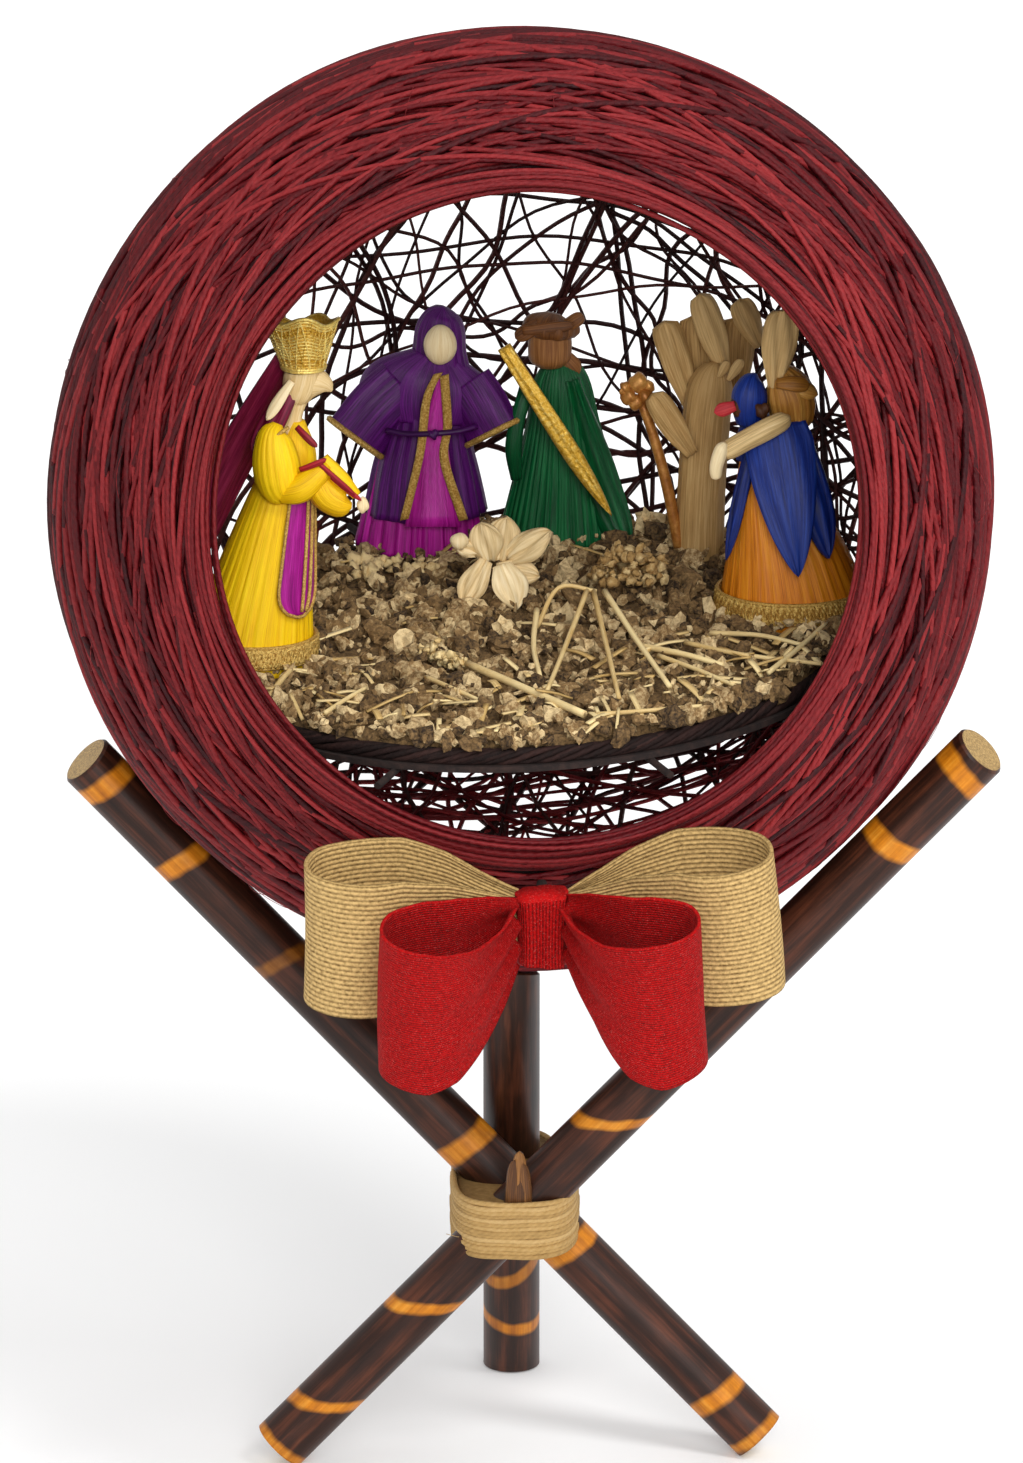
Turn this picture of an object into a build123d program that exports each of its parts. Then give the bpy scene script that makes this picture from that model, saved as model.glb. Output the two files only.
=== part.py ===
"""Nativity scene in a wound-thread globe on a tripod of lashed sticks.

Millimetres, +Z up. The open side of the globe faces -Y. The origin is on the surface that the
tripod stands on, under the middle of the whole object.
"""
import os
from math import cos, radians, sin

from build123d import *

# ---- driving dimensions -------------------------------------------------------------------
GLOBE_R = 150.0            # outside of the wound thread
BAND_THICK = 8.0           # thick winding round the open front
NET_THICK = 3.0            # open winding at the back
OPENING_HALF_ANGLE = 47.5  # from the opening's axis to the edge of the thick winding
BAND_END_ANGLE = 108.0     # where the thick winding gives way to the open net
OPENING_PITCH = 13.4       # the opening looks a little upwards
OPENING_YAW = 2.7          # and a little to the right
RIM_COIL_R = 3.2

GLOBE_HEIGHT = 312.0       # centre of the globe above the table
GLOBE_SHIFT_X = -1.0       # centres the whole object on the origin
GLOBE_SHIFT_Y = 19.5

STICK_R = 9.0
END_CHAMFER = 0.8

FLOOR_R = 107.0            # round floor inside the globe
FLOOR_Y = -11.0            # its centre, in front of the globe's
BED_DROP = 40.5            # top of the ground cover, below the globe's centre
FLOOR_PITCH = 2.7          # the back is higher
FLOOR_ROLL = 2.5           # the right side is higher
BED_THICK = 7.0
BOARD_THICK = 2.0
EDGE_CORD_R = 3.4
TIE_COUNT = 8
TIE_R = 1.2

RIBBON_THICK = 1.4
JUTE_WIDTH = 45.0
RED_WIDTH = 54.0
JUTE_TILT = 12.0           # the loops' upper rims lean towards the front
RED_TILT = 20.0
LOOP_CORNER_R = 6.0
FIT = 0.1                  # clearance where one piece is cut to clear another

GLOBE = Vector(GLOBE_SHIFT_X, GLOBE_SHIFT_Y, GLOBE_HEIGHT)
pieces = []


def at(x, y, z):
    """A point given from the centre of the globe."""
    return GLOBE + Vector(x, y, z)


def bed_height(x, y):
    """Height of the top of the ground cover, from the centre of the globe."""
    return -BED_DROP + sin(radians(FLOOR_PITCH)) * (y - FLOOR_Y) + sin(radians(FLOOR_ROLL)) * x


def keep(builder, label):
    """Label a finished piece and put it on the list to be written."""
    builder.part.label = label
    pieces.append(builder.part)
    return builder.part


def floor_plane(height=0.0):
    """The tilted plane of the ground cover, offset along its normal."""
    normal = Vector(-sin(radians(FLOOR_ROLL)), -sin(radians(FLOOR_PITCH)), 1)
    return Plane(origin=at(0, FLOOR_Y, -BED_DROP), x_dir=(1, 0, sin(radians(FLOOR_ROLL))),
                 z_dir=normal).offset(height)


# ---- stand --------------------------------------------------------------------------------
# Each stick: centre of its foot end and centre of its head end, from the globe's centre.
LEFT_FOOT_STICK = (at(-77, -31, -306.4), at(146, -39.5, -71.5))
RIGHT_FOOT_STICK = (at(76, -22, -306.3), at(-138.5, -2, -86.3))
BACK_FOOT_STICK = (at(-3, 74.5, -318), at(-3, -36.8, -145.9))
HEAD_CUT_ANGLE = 11.0      # the two long heads are cut facing a little forwards


def rod(foot, head, radius, extra=0.0):
    """A plain round rod from foot to head, lengthened by extra at both ends."""
    along = (head - foot).normalized()
    with BuildPart() as blank:
        with BuildSketch(Plane(origin=foot - along * extra, z_dir=along)):
            Circle(radius)
        extrude(amount=(head - foot).length + 2 * extra)
    return blank.part


def stick(label, foot, head, face):
    """A stick with its head cut square to the direction face and its foot worn to the table."""
    along = (head - foot).normalized()
    with BuildPart() as piece:
        add(rod(foot, head + along * 2 * STICK_R, STICK_R))
        split(bisect_by=Plane(origin=head, z_dir=face), keep=Keep.BOTTOM)
        rim_edge = piece.edges().filter_by(GeomType.LINE, reverse=True)
        chamfer(rim_edge.sort_by(Axis((0, 0, 0), (along.X, along.Y, along.Z)))[-1], END_CHAMFER)
        split(bisect_by=Plane.XY, keep=Keep.TOP)
    return keep(piece, label)


def forward_face(foot, head):
    """The direction of a head that is cut facing a little forwards."""
    return ((head - foot).normalized() + Vector(0, -1, 0) * sin(radians(HEAD_CUT_ANGLE))).normalized()


stick("stick_left_foot", *LEFT_FOOT_STICK, forward_face(*LEFT_FOOT_STICK))
stick("stick_right_foot", *RIGHT_FOOT_STICK, forward_face(*RIGHT_FOOT_STICK))
stick("stick_back_foot", *BACK_FOOT_STICK, (GLOBE - BACK_FOOT_STICK[1]).normalized())

WRAP_HALF_X, WRAP_HALF_Y, WRAP_HEIGHT = 20.5, 38.0, 17.5
WRAP_WALL = 5.0
WRAP_CENTRE = at(-2, -7, -229.8)

with BuildPart() as wrap:
    with BuildSketch(Plane(origin=WRAP_CENTRE).offset(-WRAP_HEIGHT / 2)):
        Ellipse(WRAP_HALF_X, WRAP_HALF_Y)
        Ellipse(WRAP_HALF_X - WRAP_WALL, WRAP_HALF_Y - WRAP_WALL, mode=Mode.SUBTRACT)
    extrude(amount=WRAP_HEIGHT)
    for foot_point, head_point in (LEFT_FOOT_STICK, RIGHT_FOOT_STICK, BACK_FOOT_STICK):
        add(rod(foot_point, head_point, STICK_R + FIT, extra=5), mode=Mode.SUBTRACT)
wrap_solids = wrap.part.solids().sort_by(SortBy.VOLUME)
with BuildPart() as lashing:
    for solid in wrap_solids:
        if solid.volume > 20:
            add(solid)
keep(lashing, "lashing_wrap")

TUFT_BASE = WRAP_CENTRE + Vector(1, -WRAP_HALF_Y + 0.4, WRAP_HEIGHT / 2)
with BuildPart() as tuft:
    with BuildSketch(Plane(origin=TUFT_BASE)):
        Ellipse(5.5, 1.3)
    with BuildSketch(Plane(origin=TUFT_BASE).offset(11)):
        Ellipse(2.2, 1.0)
    with BuildSketch(Plane(origin=TUFT_BASE).offset(16)):
        Ellipse(2.8, 1.2)
    loft()
    for foot_point, head_point in (LEFT_FOOT_STICK, RIGHT_FOOT_STICK):
        add(rod(foot_point, head_point, STICK_R + FIT), mode=Mode.SUBTRACT)
keep(tuft, "husk_tuft")

# ---- globe: thick winding, rim and net ----------------------------------------------------
OPENING_AXIS = Vector(
    sin(radians(OPENING_YAW)) * cos(radians(OPENING_PITCH)),
    -cos(radians(OPENING_YAW)) * cos(radians(OPENING_PITCH)),
    sin(radians(OPENING_PITCH)),
)
opening_plane = Plane(origin=GLOBE, x_dir=(cos(radians(OPENING_YAW)), sin(radians(OPENING_YAW)), 0),
                      z_dir=OPENING_AXIS)
profile_plane = Plane(origin=GLOBE, x_dir=opening_plane.x_dir, z_dir=-opening_plane.y_dir)
spin_axis = Axis(GLOBE, OPENING_AXIS)


def shell(label, start_angle, end_angle, outer, thickness):
    """A spherical shell between two angles from the opening's axis."""
    inner = outer - thickness
    with BuildPart() as piece:
        with BuildSketch(profile_plane):
            with BuildLine():
                outside = CenterArc((0, 0), outer, 90 - start_angle, start_angle - end_angle)
                inside = CenterArc((0, 0), inner, 90 - start_angle, start_angle - end_angle)
                Line(outside @ 0, inside @ 0)
                Line(outside @ 1, inside @ 1)
            make_face()
        revolve(axis=spin_axis)
    return keep(piece, label)


shell("thread_band", OPENING_HALF_ANGLE, BAND_END_ANGLE, GLOBE_R, BAND_THICK)
shell("thread_net", BAND_END_ANGLE + 0.05, 180, GLOBE_R - 0.5, NET_THICK)

RIM_RADIUS = GLOBE_R - BAND_THICK / 2
RIM_ANGLE = OPENING_HALF_ANGLE - 1.3
rim_centre = (RIM_RADIUS * sin(radians(RIM_ANGLE)), RIM_RADIUS * cos(radians(RIM_ANGLE)))
with BuildPart() as rim:
    with BuildSketch(profile_plane):
        with Locations(rim_centre):
            Circle(RIM_COIL_R)
    revolve(axis=spin_axis)
keep(rim, "rim_coil")

# ---- floor --------------------------------------------------------------------------------
with BuildPart() as board:
    with BuildSketch(floor_plane(-BED_THICK - BOARD_THICK)):
        Circle(FLOOR_R)
    extrude(amount=BOARD_THICK)
keep(board, "floor_board")

with BuildPart() as edge_cord:
    cord_plane = floor_plane(-BED_THICK + EDGE_CORD_R)
    with BuildSketch(Plane(origin=cord_plane.origin, x_dir=cord_plane.x_dir, z_dir=-cord_plane.y_dir)):
        with Locations((FLOOR_R - EDGE_CORD_R, 0)):
            Circle(EDGE_CORD_R)
    revolve(axis=Axis(cord_plane.origin, cord_plane.z_dir))
keep(edge_cord, "floor_edge_cord")

with BuildPart() as bed:
    with BuildSketch(floor_plane(-BED_THICK)):
        Circle(FLOOR_R - 2 * EDGE_CORD_R)
    extrude(amount=BED_THICK)
keep(bed, "ground_bed")

TIE_START = 80.0
with BuildPart() as inside_of_globe:
    with Locations(GLOBE):
        Sphere(GLOBE_R - BAND_THICK - FIT)
with BuildPart() as ties:
    tie_plane = floor_plane(-BED_THICK - BOARD_THICK - TIE_R)
    with Locations(tie_plane):
        with PolarLocations(TIE_START, TIE_COUNT, start_angle=360 / TIE_COUNT / 2):
            Cylinder(TIE_R, 80, rotation=(0, 90, 0), align=(Align.CENTER, Align.CENTER, Align.MIN))
    add(inside_of_globe.part, mode=Mode.INTERSECT)
keep(ties, "floor_ties")


# ---- helpers for the figures --------------------------------------------------------------
SKIRT_ROOT = 6.0           # a skirt's cone is drawn from this far below the ground cover
LEAST_SHARE = 1 / 200      # slivers that a cut leaves, as a share of the largest solid, are dropped
HUSK_THICK = 1.5           # a petal of one or two layers of husk
BRAID_THICK = 1.0


def section(skirt, share):
    """Centre and radii of a skirt's cone at a share of its height."""
    x, y, top, base, crown, lean = skirt
    low = bed_height(x, y) - SKIRT_ROOT
    centre = at(x + lean * share, y, low + (top - low) * share)
    radii = [wide + (narrow - wide) * share for wide, narrow in zip(base, crown)]
    return centre, radii


def cone(skirt, start=0.0, end=1.0, margin=0.0):
    """The part of a skirt's cone between two shares of its height, made larger by margin."""
    with BuildPart() as piece:
        for share in (start, end):
            centre, radii = section(skirt, share)
            with BuildSketch(Plane(origin=centre)):
                Ellipse(radii[0] + margin, radii[1] + margin)
        loft()
        split(bisect_by=floor_plane(), keep=Keep.TOP)
    return piece.part


def tapered(start, end, start_radius, end_radius):
    """A round tapered piece between two points."""
    along = (end - start).normalized()
    with BuildPart() as piece:
        with BuildSketch(Plane(origin=start, z_dir=along)):
            Circle(start_radius)
        with BuildSketch(Plane(origin=end, z_dir=along)):
            Circle(end_radius)
        loft()
    return piece.part


def egg(centre, radius, half_height):
    """A rounded head or bundle, turned about an upright axis."""
    with BuildPart() as piece:
        with BuildSketch(Plane(origin=centre, x_dir=(1, 0, 0), z_dir=(0, -1, 0))):
            Ellipse(radius, half_height)
            Rectangle(2 * radius, 4 * half_height, align=(Align.MAX, Align.CENTER), mode=Mode.SUBTRACT)
        revolve(axis=Axis(centre, (0, 0, 1)))
    return piece.part


def ball(centre, radius):
    """A round bundle."""
    with BuildPart() as piece:
        with Locations(centre):
            Sphere(radius)
    return piece.part


def leaf(base, tip, width, thickness, facing=(0, -1, 0)):
    """A flat husk petal from base to tip, facing the given way."""
    along = (tip - base).normalized()
    across = along.cross(Vector(*facing)).normalized()
    length = (tip - base).length
    with BuildPart() as piece:
        with BuildSketch(Plane(origin=base, x_dir=along, z_dir=across.cross(along))):
            with BuildLine():
                edge = Spline((0, -width * 0.28), (length * 0.6, -width / 2), (length, 0),
                              tangents=((1, -0.3), (0, 1)))
                mirror(edge, about=Plane.XZ)
                Line((0, width * 0.28), (0, -width * 0.28))
            make_face()
        extrude(amount=thickness / 2, both=True)
    return piece.part


def fitted(label, *shapes, clear_of=()):
    """Join shapes into one piece, cut it clear of its neighbours and keep it."""
    with BuildPart() as piece:
        for shape in shapes:
            add(shape)
        for neighbour in clear_of:
            add(neighbour, mode=Mode.SUBTRACT)
    largest = piece.part.solids().sort_by(SortBy.VOLUME)[-1].volume
    with BuildPart() as whole:
        for solid in piece.part.solids():
            if solid.volume > largest * LEAST_SHARE:
                add(solid)
    return keep(whole, label)


# ---- yellow figure, left front ------------------------------------------------------------
# A skirt: x, y, height of its top, base radii, top radii, lean along X.
YELLOW_SKIRT = (-82, -27, 19, (17.5, 17), (8.5, 7.5), 8)

yellow_skirt = fitted("yellow_skirt", cone(YELLOW_SKIRT))
fitted("yellow_hem_braid", cone(YELLOW_SKIRT, 0.15, 0.28, BRAID_THICK), clear_of=[yellow_skirt])
panel_low, panel_wide = section(YELLOW_SKIRT, 0.36)
panel_high, panel_narrow = section(YELLOW_SKIRT, 0.97)
with BuildPart() as panel:
    front_low = panel_low + Vector(8, 0, 0)
    with BuildSketch(Plane(origin=front_low)):
        with Locations((0, -panel_wide[1] - 1)):
            Rectangle(13, 12)
    with BuildSketch(Plane(origin=panel_high + Vector(4, 0, 0))):
        with Locations((0, -panel_narrow[1] - 1)):
            Rectangle(8, 10)
    loft()
    add(cone(YELLOW_SKIRT, 0.3, 1.0, 1.2), mode=Mode.INTERSECT)
yellow_panel = fitted("yellow_panel", panel.part, clear_of=[yellow_skirt])
yellow_neck = tapered(at(-74, -27, 19), at(-71, -27, 41), 4.5, 2.2)
yellow_head = fitted("yellow_head", egg(at(-67.5, -27, 45), 5.8, 6.4), yellow_neck,
                     clear_of=[yellow_skirt])
yellow_sleeves = fitted(
    "yellow_sleeves",
    egg(at(-75, -32, 24), 6.5, 10.5), egg(at(-74, -22, 24), 6.2, 10),
    tapered(at(-72, -34, 17), at(-52, -38, 8), 4.2, 2.6),
    tapered(at(-70, -22, 20), at(-52, -31, 9), 4.0, 2.4),
    clear_of=[yellow_head, yellow_skirt, yellow_panel],
)
fitted("yellow_gift", ball(at(-55, -33, 15), 3.4), clear_of=[yellow_sleeves])
yellow_crown = fitted("yellow_crown", tapered(at(-69.5, -27, 50), at(-70, -27, 71), 7.5, 11.5),
                      clear_of=[yellow_head, tapered(at(-70, -27, 54), at(-70, -27, 72), 6.9, 10.5)])
with BuildPart() as veil:
    with BuildSketch(Plane(origin=at(-76, -18, 50))):
        Rectangle(9, 3)
    with BuildSketch(Plane(origin=at(-87, -11, 17))):
        Rectangle(15, 3.5)
    with BuildSketch(Plane(origin=at(-97, -7, -20))):
        Rectangle(17, 3)
    loft()
fitted("yellow_veil", veil.part,
       clear_of=[yellow_head, yellow_sleeves, yellow_crown, yellow_skirt])

# ---- purple figure, back left -------------------------------------------------------------
PURPLE_SKIRT = (-32.5, 76, -8, (19, 15), (12, 9), 1)

purple_skirt = fitted("purple_skirt", cone(PURPLE_SKIRT))
with BuildPart() as coat:
    for height, half_x, half_y in ((-7.9, 16.5, 11.5), (4, 13, 9), (18, 14, 8), (23, 7, 6)):
        with BuildSketch(Plane(origin=at(-29.5, 76, height))):
            Ellipse(half_x, half_y)
    loft()
purple_head = fitted("purple_head", egg(at(-25.7, 71.5, 30), 5.3, 6.4),
                     tapered(at(-27, 74, 20), at(-26, 72.5, 27), 4, 3))
purple_coat = fitted("purple_coat", coat.part, clear_of=[purple_head])
purple_hood = fitted("purple_hood", egg(at(-26, 76, 29.5), 7.9, 9.6),
                     clear_of=[purple_coat, egg(at(-25.7, 70.5, 29.8), 6.7, 6.9), purple_head])
fitted(
    "purple_sleeves",
    tapered(at(-38, 75, 17), at(-53, 71, 2), 5.5, 7.5),
    tapered(at(-53, 71, 2), at(-47, 67, -9), 7.5, 4),
    tapered(at(-20, 75, 17), at(-7, 71, 4), 5.5, 7),
    tapered(at(-7, 71, 4), at(-13, 67, -9), 7, 4),
    clear_of=[purple_coat, purple_skirt, purple_hood],
)
fitted("purple_gold_trims",
       tapered(at(-30.5, 63, 18), at(-32, 63.5, 2), 1.2, 1.2),
       tapered(at(-25, 63, 18), at(-24, 63.5, 2), 1.2, 1.2),
       clear_of=[purple_coat, purple_head])

# ---- green figure, back middle ------------------------------------------------------------
GREEN_ROBE = (15, 79, 21, (21, 15), (7.5, 6.5), -3)

green_robe = fitted("green_robe", cone(GREEN_ROBE))
green_head = fitted("green_head", egg(at(9.5, 76, 25.5), 5.5, 7), clear_of=[green_robe])
fitted("green_turban", ball(at(10.5, 77, 32.3), 6.9), clear_of=[green_head, green_robe])
green_arm = fitted("green_arm", tapered(at(6, 69, 16), at(1, 65, -9), 3.0, 2.4),
                   clear_of=[green_robe, green_head])
fitted("green_sash", leaf(at(-1, 64.5, 30), at(28, 61.5, -22), 6, 1.2), clear_of=[green_arm, green_robe])

# ---- angel, back right, with its staff ----------------------------------------------------
ANGEL_ROBE = (60.5, 55, 28, (9.5, 8.5), (6.5, 6), -1)

angel_robe = fitted("angel_robe", cone(ANGEL_ROBE))
angel_wings = fitted(
    "angel_wings",
    leaf(at(58, 60, 14), at(42, 61, 41), 13, HUSK_THICK),
    leaf(at(59, 64, 12), at(56, 65, 50), 15, HUSK_THICK),
    leaf(at(63, 62, 14), at(60, 63, 40), 10, HUSK_THICK),
    leaf(at(66, 64, 16), at(74, 65, 48), 12, HUSK_THICK),
    leaf(at(68, 60, 12), at(74, 61, 37), 11, HUSK_THICK),
    clear_of=[angel_robe],
)
angel_arm = fitted("angel_arm", leaf(at(56, 46, 4), at(44, 45, 21), 9, HUSK_THICK),
                   clear_of=[angel_robe, angel_wings])
staff_top, staff_foot = at(38.5, 54, 12), at(48.5, 53, bed_height(48.5, 53) - 1)
staff = fitted("staff", tapered(staff_foot, staff_top, 2.0, 1.6), clear_of=[bed.part, angel_robe, angel_arm])
fitted("staff_ornament", egg(at(36.5, 56, 19), 4.2, 6.0), clear_of=[staff])

# ---- blue and orange figure, right front --------------------------------------------------
ORANGE_SKIRT = (86, 3, 14, (25, 22), (8, 7.5), -10)

orange_skirt = fitted("orange_skirt", cone(ORANGE_SKIRT))
fitted("orange_hem_braid", cone(ORANGE_SKIRT, 0.13, 0.24, BRAID_THICK), clear_of=[orange_skirt])
blue_bodice = tapered(at(76, 3, 14), at(75, 3, 27), 6.5, 5)
blue_head = fitted("blue_head", egg(at(69, 1, 32), 5.6, 6.6), blue_bodice, clear_of=[orange_skirt])
blue_hood = fitted("blue_hood", egg(at(73, 3, 32), 6.7, 9), clear_of=[blue_head, orange_skirt])
fitted("blue_hat_petal", leaf(at(77, 1, 41.5), at(83, 1, 62), 11.5, HUSK_THICK),
       clear_of=[blue_hood, blue_head])
blue_collar = fitted("blue_collar", ball(at(88, 4, 32), 7.6), clear_of=[blue_hood, blue_head])
blue_arms = fitted("blue_arms", tapered(at(82, -5, 26), at(64, -12, 17), 3.2, 2.2),
                   tapered(at(64, -12, 17), at(61, -13, 12), 2.6, 1.8),
                   clear_of=[blue_collar, blue_head, blue_hood])
fitted("blue_cape", leaf(at(80, -6, 25), at(91, -21.5, -27), 27, 2.0),
       leaf(at(74, -6, 21), at(67, -17, -19), 8, HUSK_THICK),
       clear_of=[orange_skirt, blue_arms, blue_collar, blue_head, blue_hood])

# ---- child, seeds and straw ---------------------------------------------------------------
child_base = at(-8, 19, bed_height(-8, 19) + 1.2)
child_petals = fitted(
    "child_petals",
    leaf(child_base, child_base + Vector(-13, 2, 21), 12, HUSK_THICK),
    leaf(child_base, child_base + Vector(5, 3, 24), 13, HUSK_THICK),
    leaf(child_base, child_base + Vector(16, -2, 15), 12, HUSK_THICK),
    leaf(child_base, child_base + Vector(-1, -5, 14), 12, HUSK_THICK),
    ball(child_base + Vector(0, 0, 1.5), 4),
    clear_of=[bed.part],
)
fitted("child_head", egg(child_base + Vector(-11.5, -3.5, 17), 2.7, 2.8), clear_of=[child_petals])

with BuildPart() as cluster:
    add(ball(at(34.5, 14, bed_height(34.5, 14) + 8), 11))
    split(bisect_by=floor_plane(), keep=Keep.TOP)
keep(cluster, "seed_cluster")

CREAM_SEEDS = ((-50, 47), (-45, 44), (-40, 50), (-36, 45), (-31, 51), (-43, 52))
with BuildPart() as cream:
    for x, y in CREAM_SEEDS:
        with Locations(at(x, y, bed_height(x, y) + 1.6)):
            Sphere(2.2)
    split(bisect_by=floor_plane(), keep=Keep.TOP)
keep(cream, "cream_seeds")

# Straws lying on the ground cover: x and y of one end, of the other end, and their heights.
STRAW_R = 1.1
STRAW_HEIGHT = STRAW_R + 0.2
STRAWS = (
    ((21, -14), 11.5, (7.5, -80), STRAW_HEIGHT),
    ((24, -14), 11.5, (30, -88), STRAW_HEIGHT),
    ((27.5, -13), 11.5, (46, -79), STRAW_HEIGHT),
    ((43.5, -50), STRAW_HEIGHT, (68, -80), STRAW_HEIGHT),
    ((50, -40), STRAW_HEIGHT, (86, -60), STRAW_HEIGHT),
    ((24, -100), STRAW_HEIGHT, (58, -96), STRAW_HEIGHT),
    ((-60, -88), STRAW_HEIGHT, (-49, -70), STRAW_HEIGHT),
)


def straw(start, start_height, end, end_height, radius):
    """One straight straw between two points over the ground cover."""
    return tapered(at(*start, bed_height(*start) + start_height),
                   at(*end, bed_height(*end) + end_height), radius, radius * 0.8)


with BuildPart() as straws:
    for start, start_height, end, end_height in STRAWS:
        add(straw(start, start_height, end, end_height, STRAW_R))
    split(bisect_by=floor_plane(), keep=Keep.TOP)
keep(straws, "straw_stems")

fitted("seed_stem", straw((-17, -52), 3.4, (19, -98), STRAW_HEIGHT, 1.4),
       tapered(at(-31, -36, bed_height(-31, -36) + 3.4), at(-20, -48, bed_height(-20, -48) + 3.4), 3.0, 3.2),
       tapered(at(-20, -48, bed_height(-20, -48) + 3.5), at(-16, -53, bed_height(-16, -53) + 3.4), 2.2, 1.4),
       clear_of=[straws.part])

# ---- bow ----------------------------------------------------------------------------------
KNOT = at(6.5, -142, -97.5)
KNOT_SIZE = (16.4, 10.0, 26.0)
ROOT = KNOT_SIZE[0] / 2 + FIT

# Outlines of a loop, seen along the ribbon's width: sideways from the knot, and backwards.
JUTE_OUTLINE = ((ROOT, 4.6), (40, 14), (70, 8), (75, -3), (66, -15.5), (48, -18), (28, -9), (ROOT, 1.4))
RED_OUTLINE = ((ROOT, -0.6), (26, -11), (44, -16), (52, -28), (40, -43), (22, -38), (ROOT, -4.4))
# Outlines seen from the front: the ribbon is gathered where it goes into the knot.
JUTE_FRONT = ((8, -10), (28, -17), (45, -22.5), (78, -22.5), (78, 22.5), (45, 22.5), (28, 17), (8, 10))
RED_FRONT = ((8, -12), (20, -24), (32, -34), (56, -34), (56, 20), (32, 20), (20, 17), (8, 11))


def bow_frame(tilt, roll=0.0):
    """The frame of a loop at the knot: X sideways, Z along the ribbon's width."""
    upright = Plane(origin=KNOT, x_dir=(1, 0, 0), z_dir=(0, -sin(radians(tilt)), cos(radians(tilt))))
    return upright.rotated((0, -roll, 0))


def loop(label, side, outline, front, width, frame, clear_of=()):
    """A ribbon loop beside the knot; side is -1 for left and 1 for right."""
    middle = (front[0][1] + front[-1][1] + front[2][1] + front[-3][1]) / 4
    with BuildPart() as piece:
        with BuildSketch(frame.offset(middle - width / 2)) as shape:
            with BuildLine():
                Polyline(*[(side * x, y) for x, y in outline], close=True)
            make_face()
            fillet([corner for corner in shape.vertices() if abs(corner.X) > 2 * ROOT], LOOP_CORNER_R)
            offset(amount=-RIBBON_THICK, kind=Kind.INTERSECTION, mode=Mode.SUBTRACT)
        extrude(amount=width)
        front_plane = Plane(origin=frame.origin, x_dir=frame.x_dir, z_dir=-frame.y_dir)
        with BuildSketch(front_plane):
            with BuildLine():
                Polyline(*[(side * x, z) for x, z in front], close=True)
            make_face()
        extrude(amount=80, both=True, mode=Mode.INTERSECT)
    return fitted(label, piece.part, clear_of=clear_of)


with BuildPart() as knot:
    with BuildSketch(bow_frame(JUTE_TILT).offset(-KNOT_SIZE[2] / 2)):
        RectangleRounded(KNOT_SIZE[0], KNOT_SIZE[1], 2.5)
    extrude(amount=KNOT_SIZE[2])
keep(knot, "bow_knot")
jute_left = loop("jute_loop_left", -1, JUTE_OUTLINE, JUTE_FRONT, JUTE_WIDTH, bow_frame(JUTE_TILT),
                 clear_of=[knot.part])
jute_right = loop("jute_loop_right", 1, JUTE_OUTLINE, JUTE_FRONT, JUTE_WIDTH, bow_frame(JUTE_TILT, 2),
                  clear_of=[knot.part])
loop("red_loop_left", -1, RED_OUTLINE, RED_FRONT, RED_WIDTH, bow_frame(RED_TILT),
     clear_of=[knot.part, jute_left])
loop("red_loop_right", 1, RED_OUTLINE, RED_FRONT, RED_WIDTH, bow_frame(RED_TILT, 4),
     clear_of=[knot.part, jute_right])
with BuildPart() as globe_ball:
    with Locations(GLOBE):
        Sphere(GLOBE_R + FIT)
fitted("bow_tie", tapered(at(6.5, -138, -93), at(6.5, -118, -90), 1.6, 1.6),
       clear_of=[knot.part, globe_ball.part])

for piece in pieces:
    box = piece.bounding_box()
    print(piece.label, [round(value, 1) for value in (*box.min, *box.max)])

os.makedirs("parts", exist_ok=True)
for piece in pieces:
    export_step(piece, f"parts/{piece.label}.step")
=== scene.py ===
"""Looks of a nativity scene in a wound thread globe on a stick tripod. Sizes are in millimetres."""

import math

import bpy
import numpy as np
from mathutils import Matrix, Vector


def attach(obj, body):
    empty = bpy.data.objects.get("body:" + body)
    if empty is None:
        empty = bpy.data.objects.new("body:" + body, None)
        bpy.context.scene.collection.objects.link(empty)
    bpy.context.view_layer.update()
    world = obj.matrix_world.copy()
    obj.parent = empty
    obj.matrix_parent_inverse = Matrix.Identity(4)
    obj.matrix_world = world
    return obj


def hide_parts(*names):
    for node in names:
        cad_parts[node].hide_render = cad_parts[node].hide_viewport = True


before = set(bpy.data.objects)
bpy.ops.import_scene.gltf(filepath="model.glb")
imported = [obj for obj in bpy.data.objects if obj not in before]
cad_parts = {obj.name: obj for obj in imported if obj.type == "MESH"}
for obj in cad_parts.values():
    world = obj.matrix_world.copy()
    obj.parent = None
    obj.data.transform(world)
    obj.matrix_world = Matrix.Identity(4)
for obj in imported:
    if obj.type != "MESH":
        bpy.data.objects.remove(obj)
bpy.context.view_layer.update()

rng = np.random.default_rng(418)
GLOBE = np.array((-1.0, 19.5, 312.0))
PITCH, YAW = math.radians(13.4), math.radians(2.7)  # the opening looks up and to one side
AXIS = np.array((math.sin(YAW) * math.cos(PITCH), -math.cos(YAW) * math.cos(PITCH), math.sin(PITCH)))
SIDE = np.array((math.cos(YAW), math.sin(YAW), 0.0))
UP = np.cross(SIDE, AXIS) * -1.0
BED_TOP, BED_Y = -40.5, -11.0  # middle of the ground cover, from the globe's centre
BED_BACK_UP, BED_RIGHT_UP = math.radians(2.7), math.radians(2.5)


def at(x, y, z):
    """A place given from the globe's centre."""
    return GLOBE + np.array((x, y, z), float)


def unit(v):
    """The same directions with length 1."""
    v = np.asarray(v, float)
    return v / np.maximum(np.linalg.norm(v, axis=-1, keepdims=True), 1e-9)


def bed_height(x, y):
    """Top of the ground cover, from the globe's centre."""
    return BED_TOP + math.sin(BED_BACK_UP) * (y - BED_Y) + math.sin(BED_RIGHT_UP) * x


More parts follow.
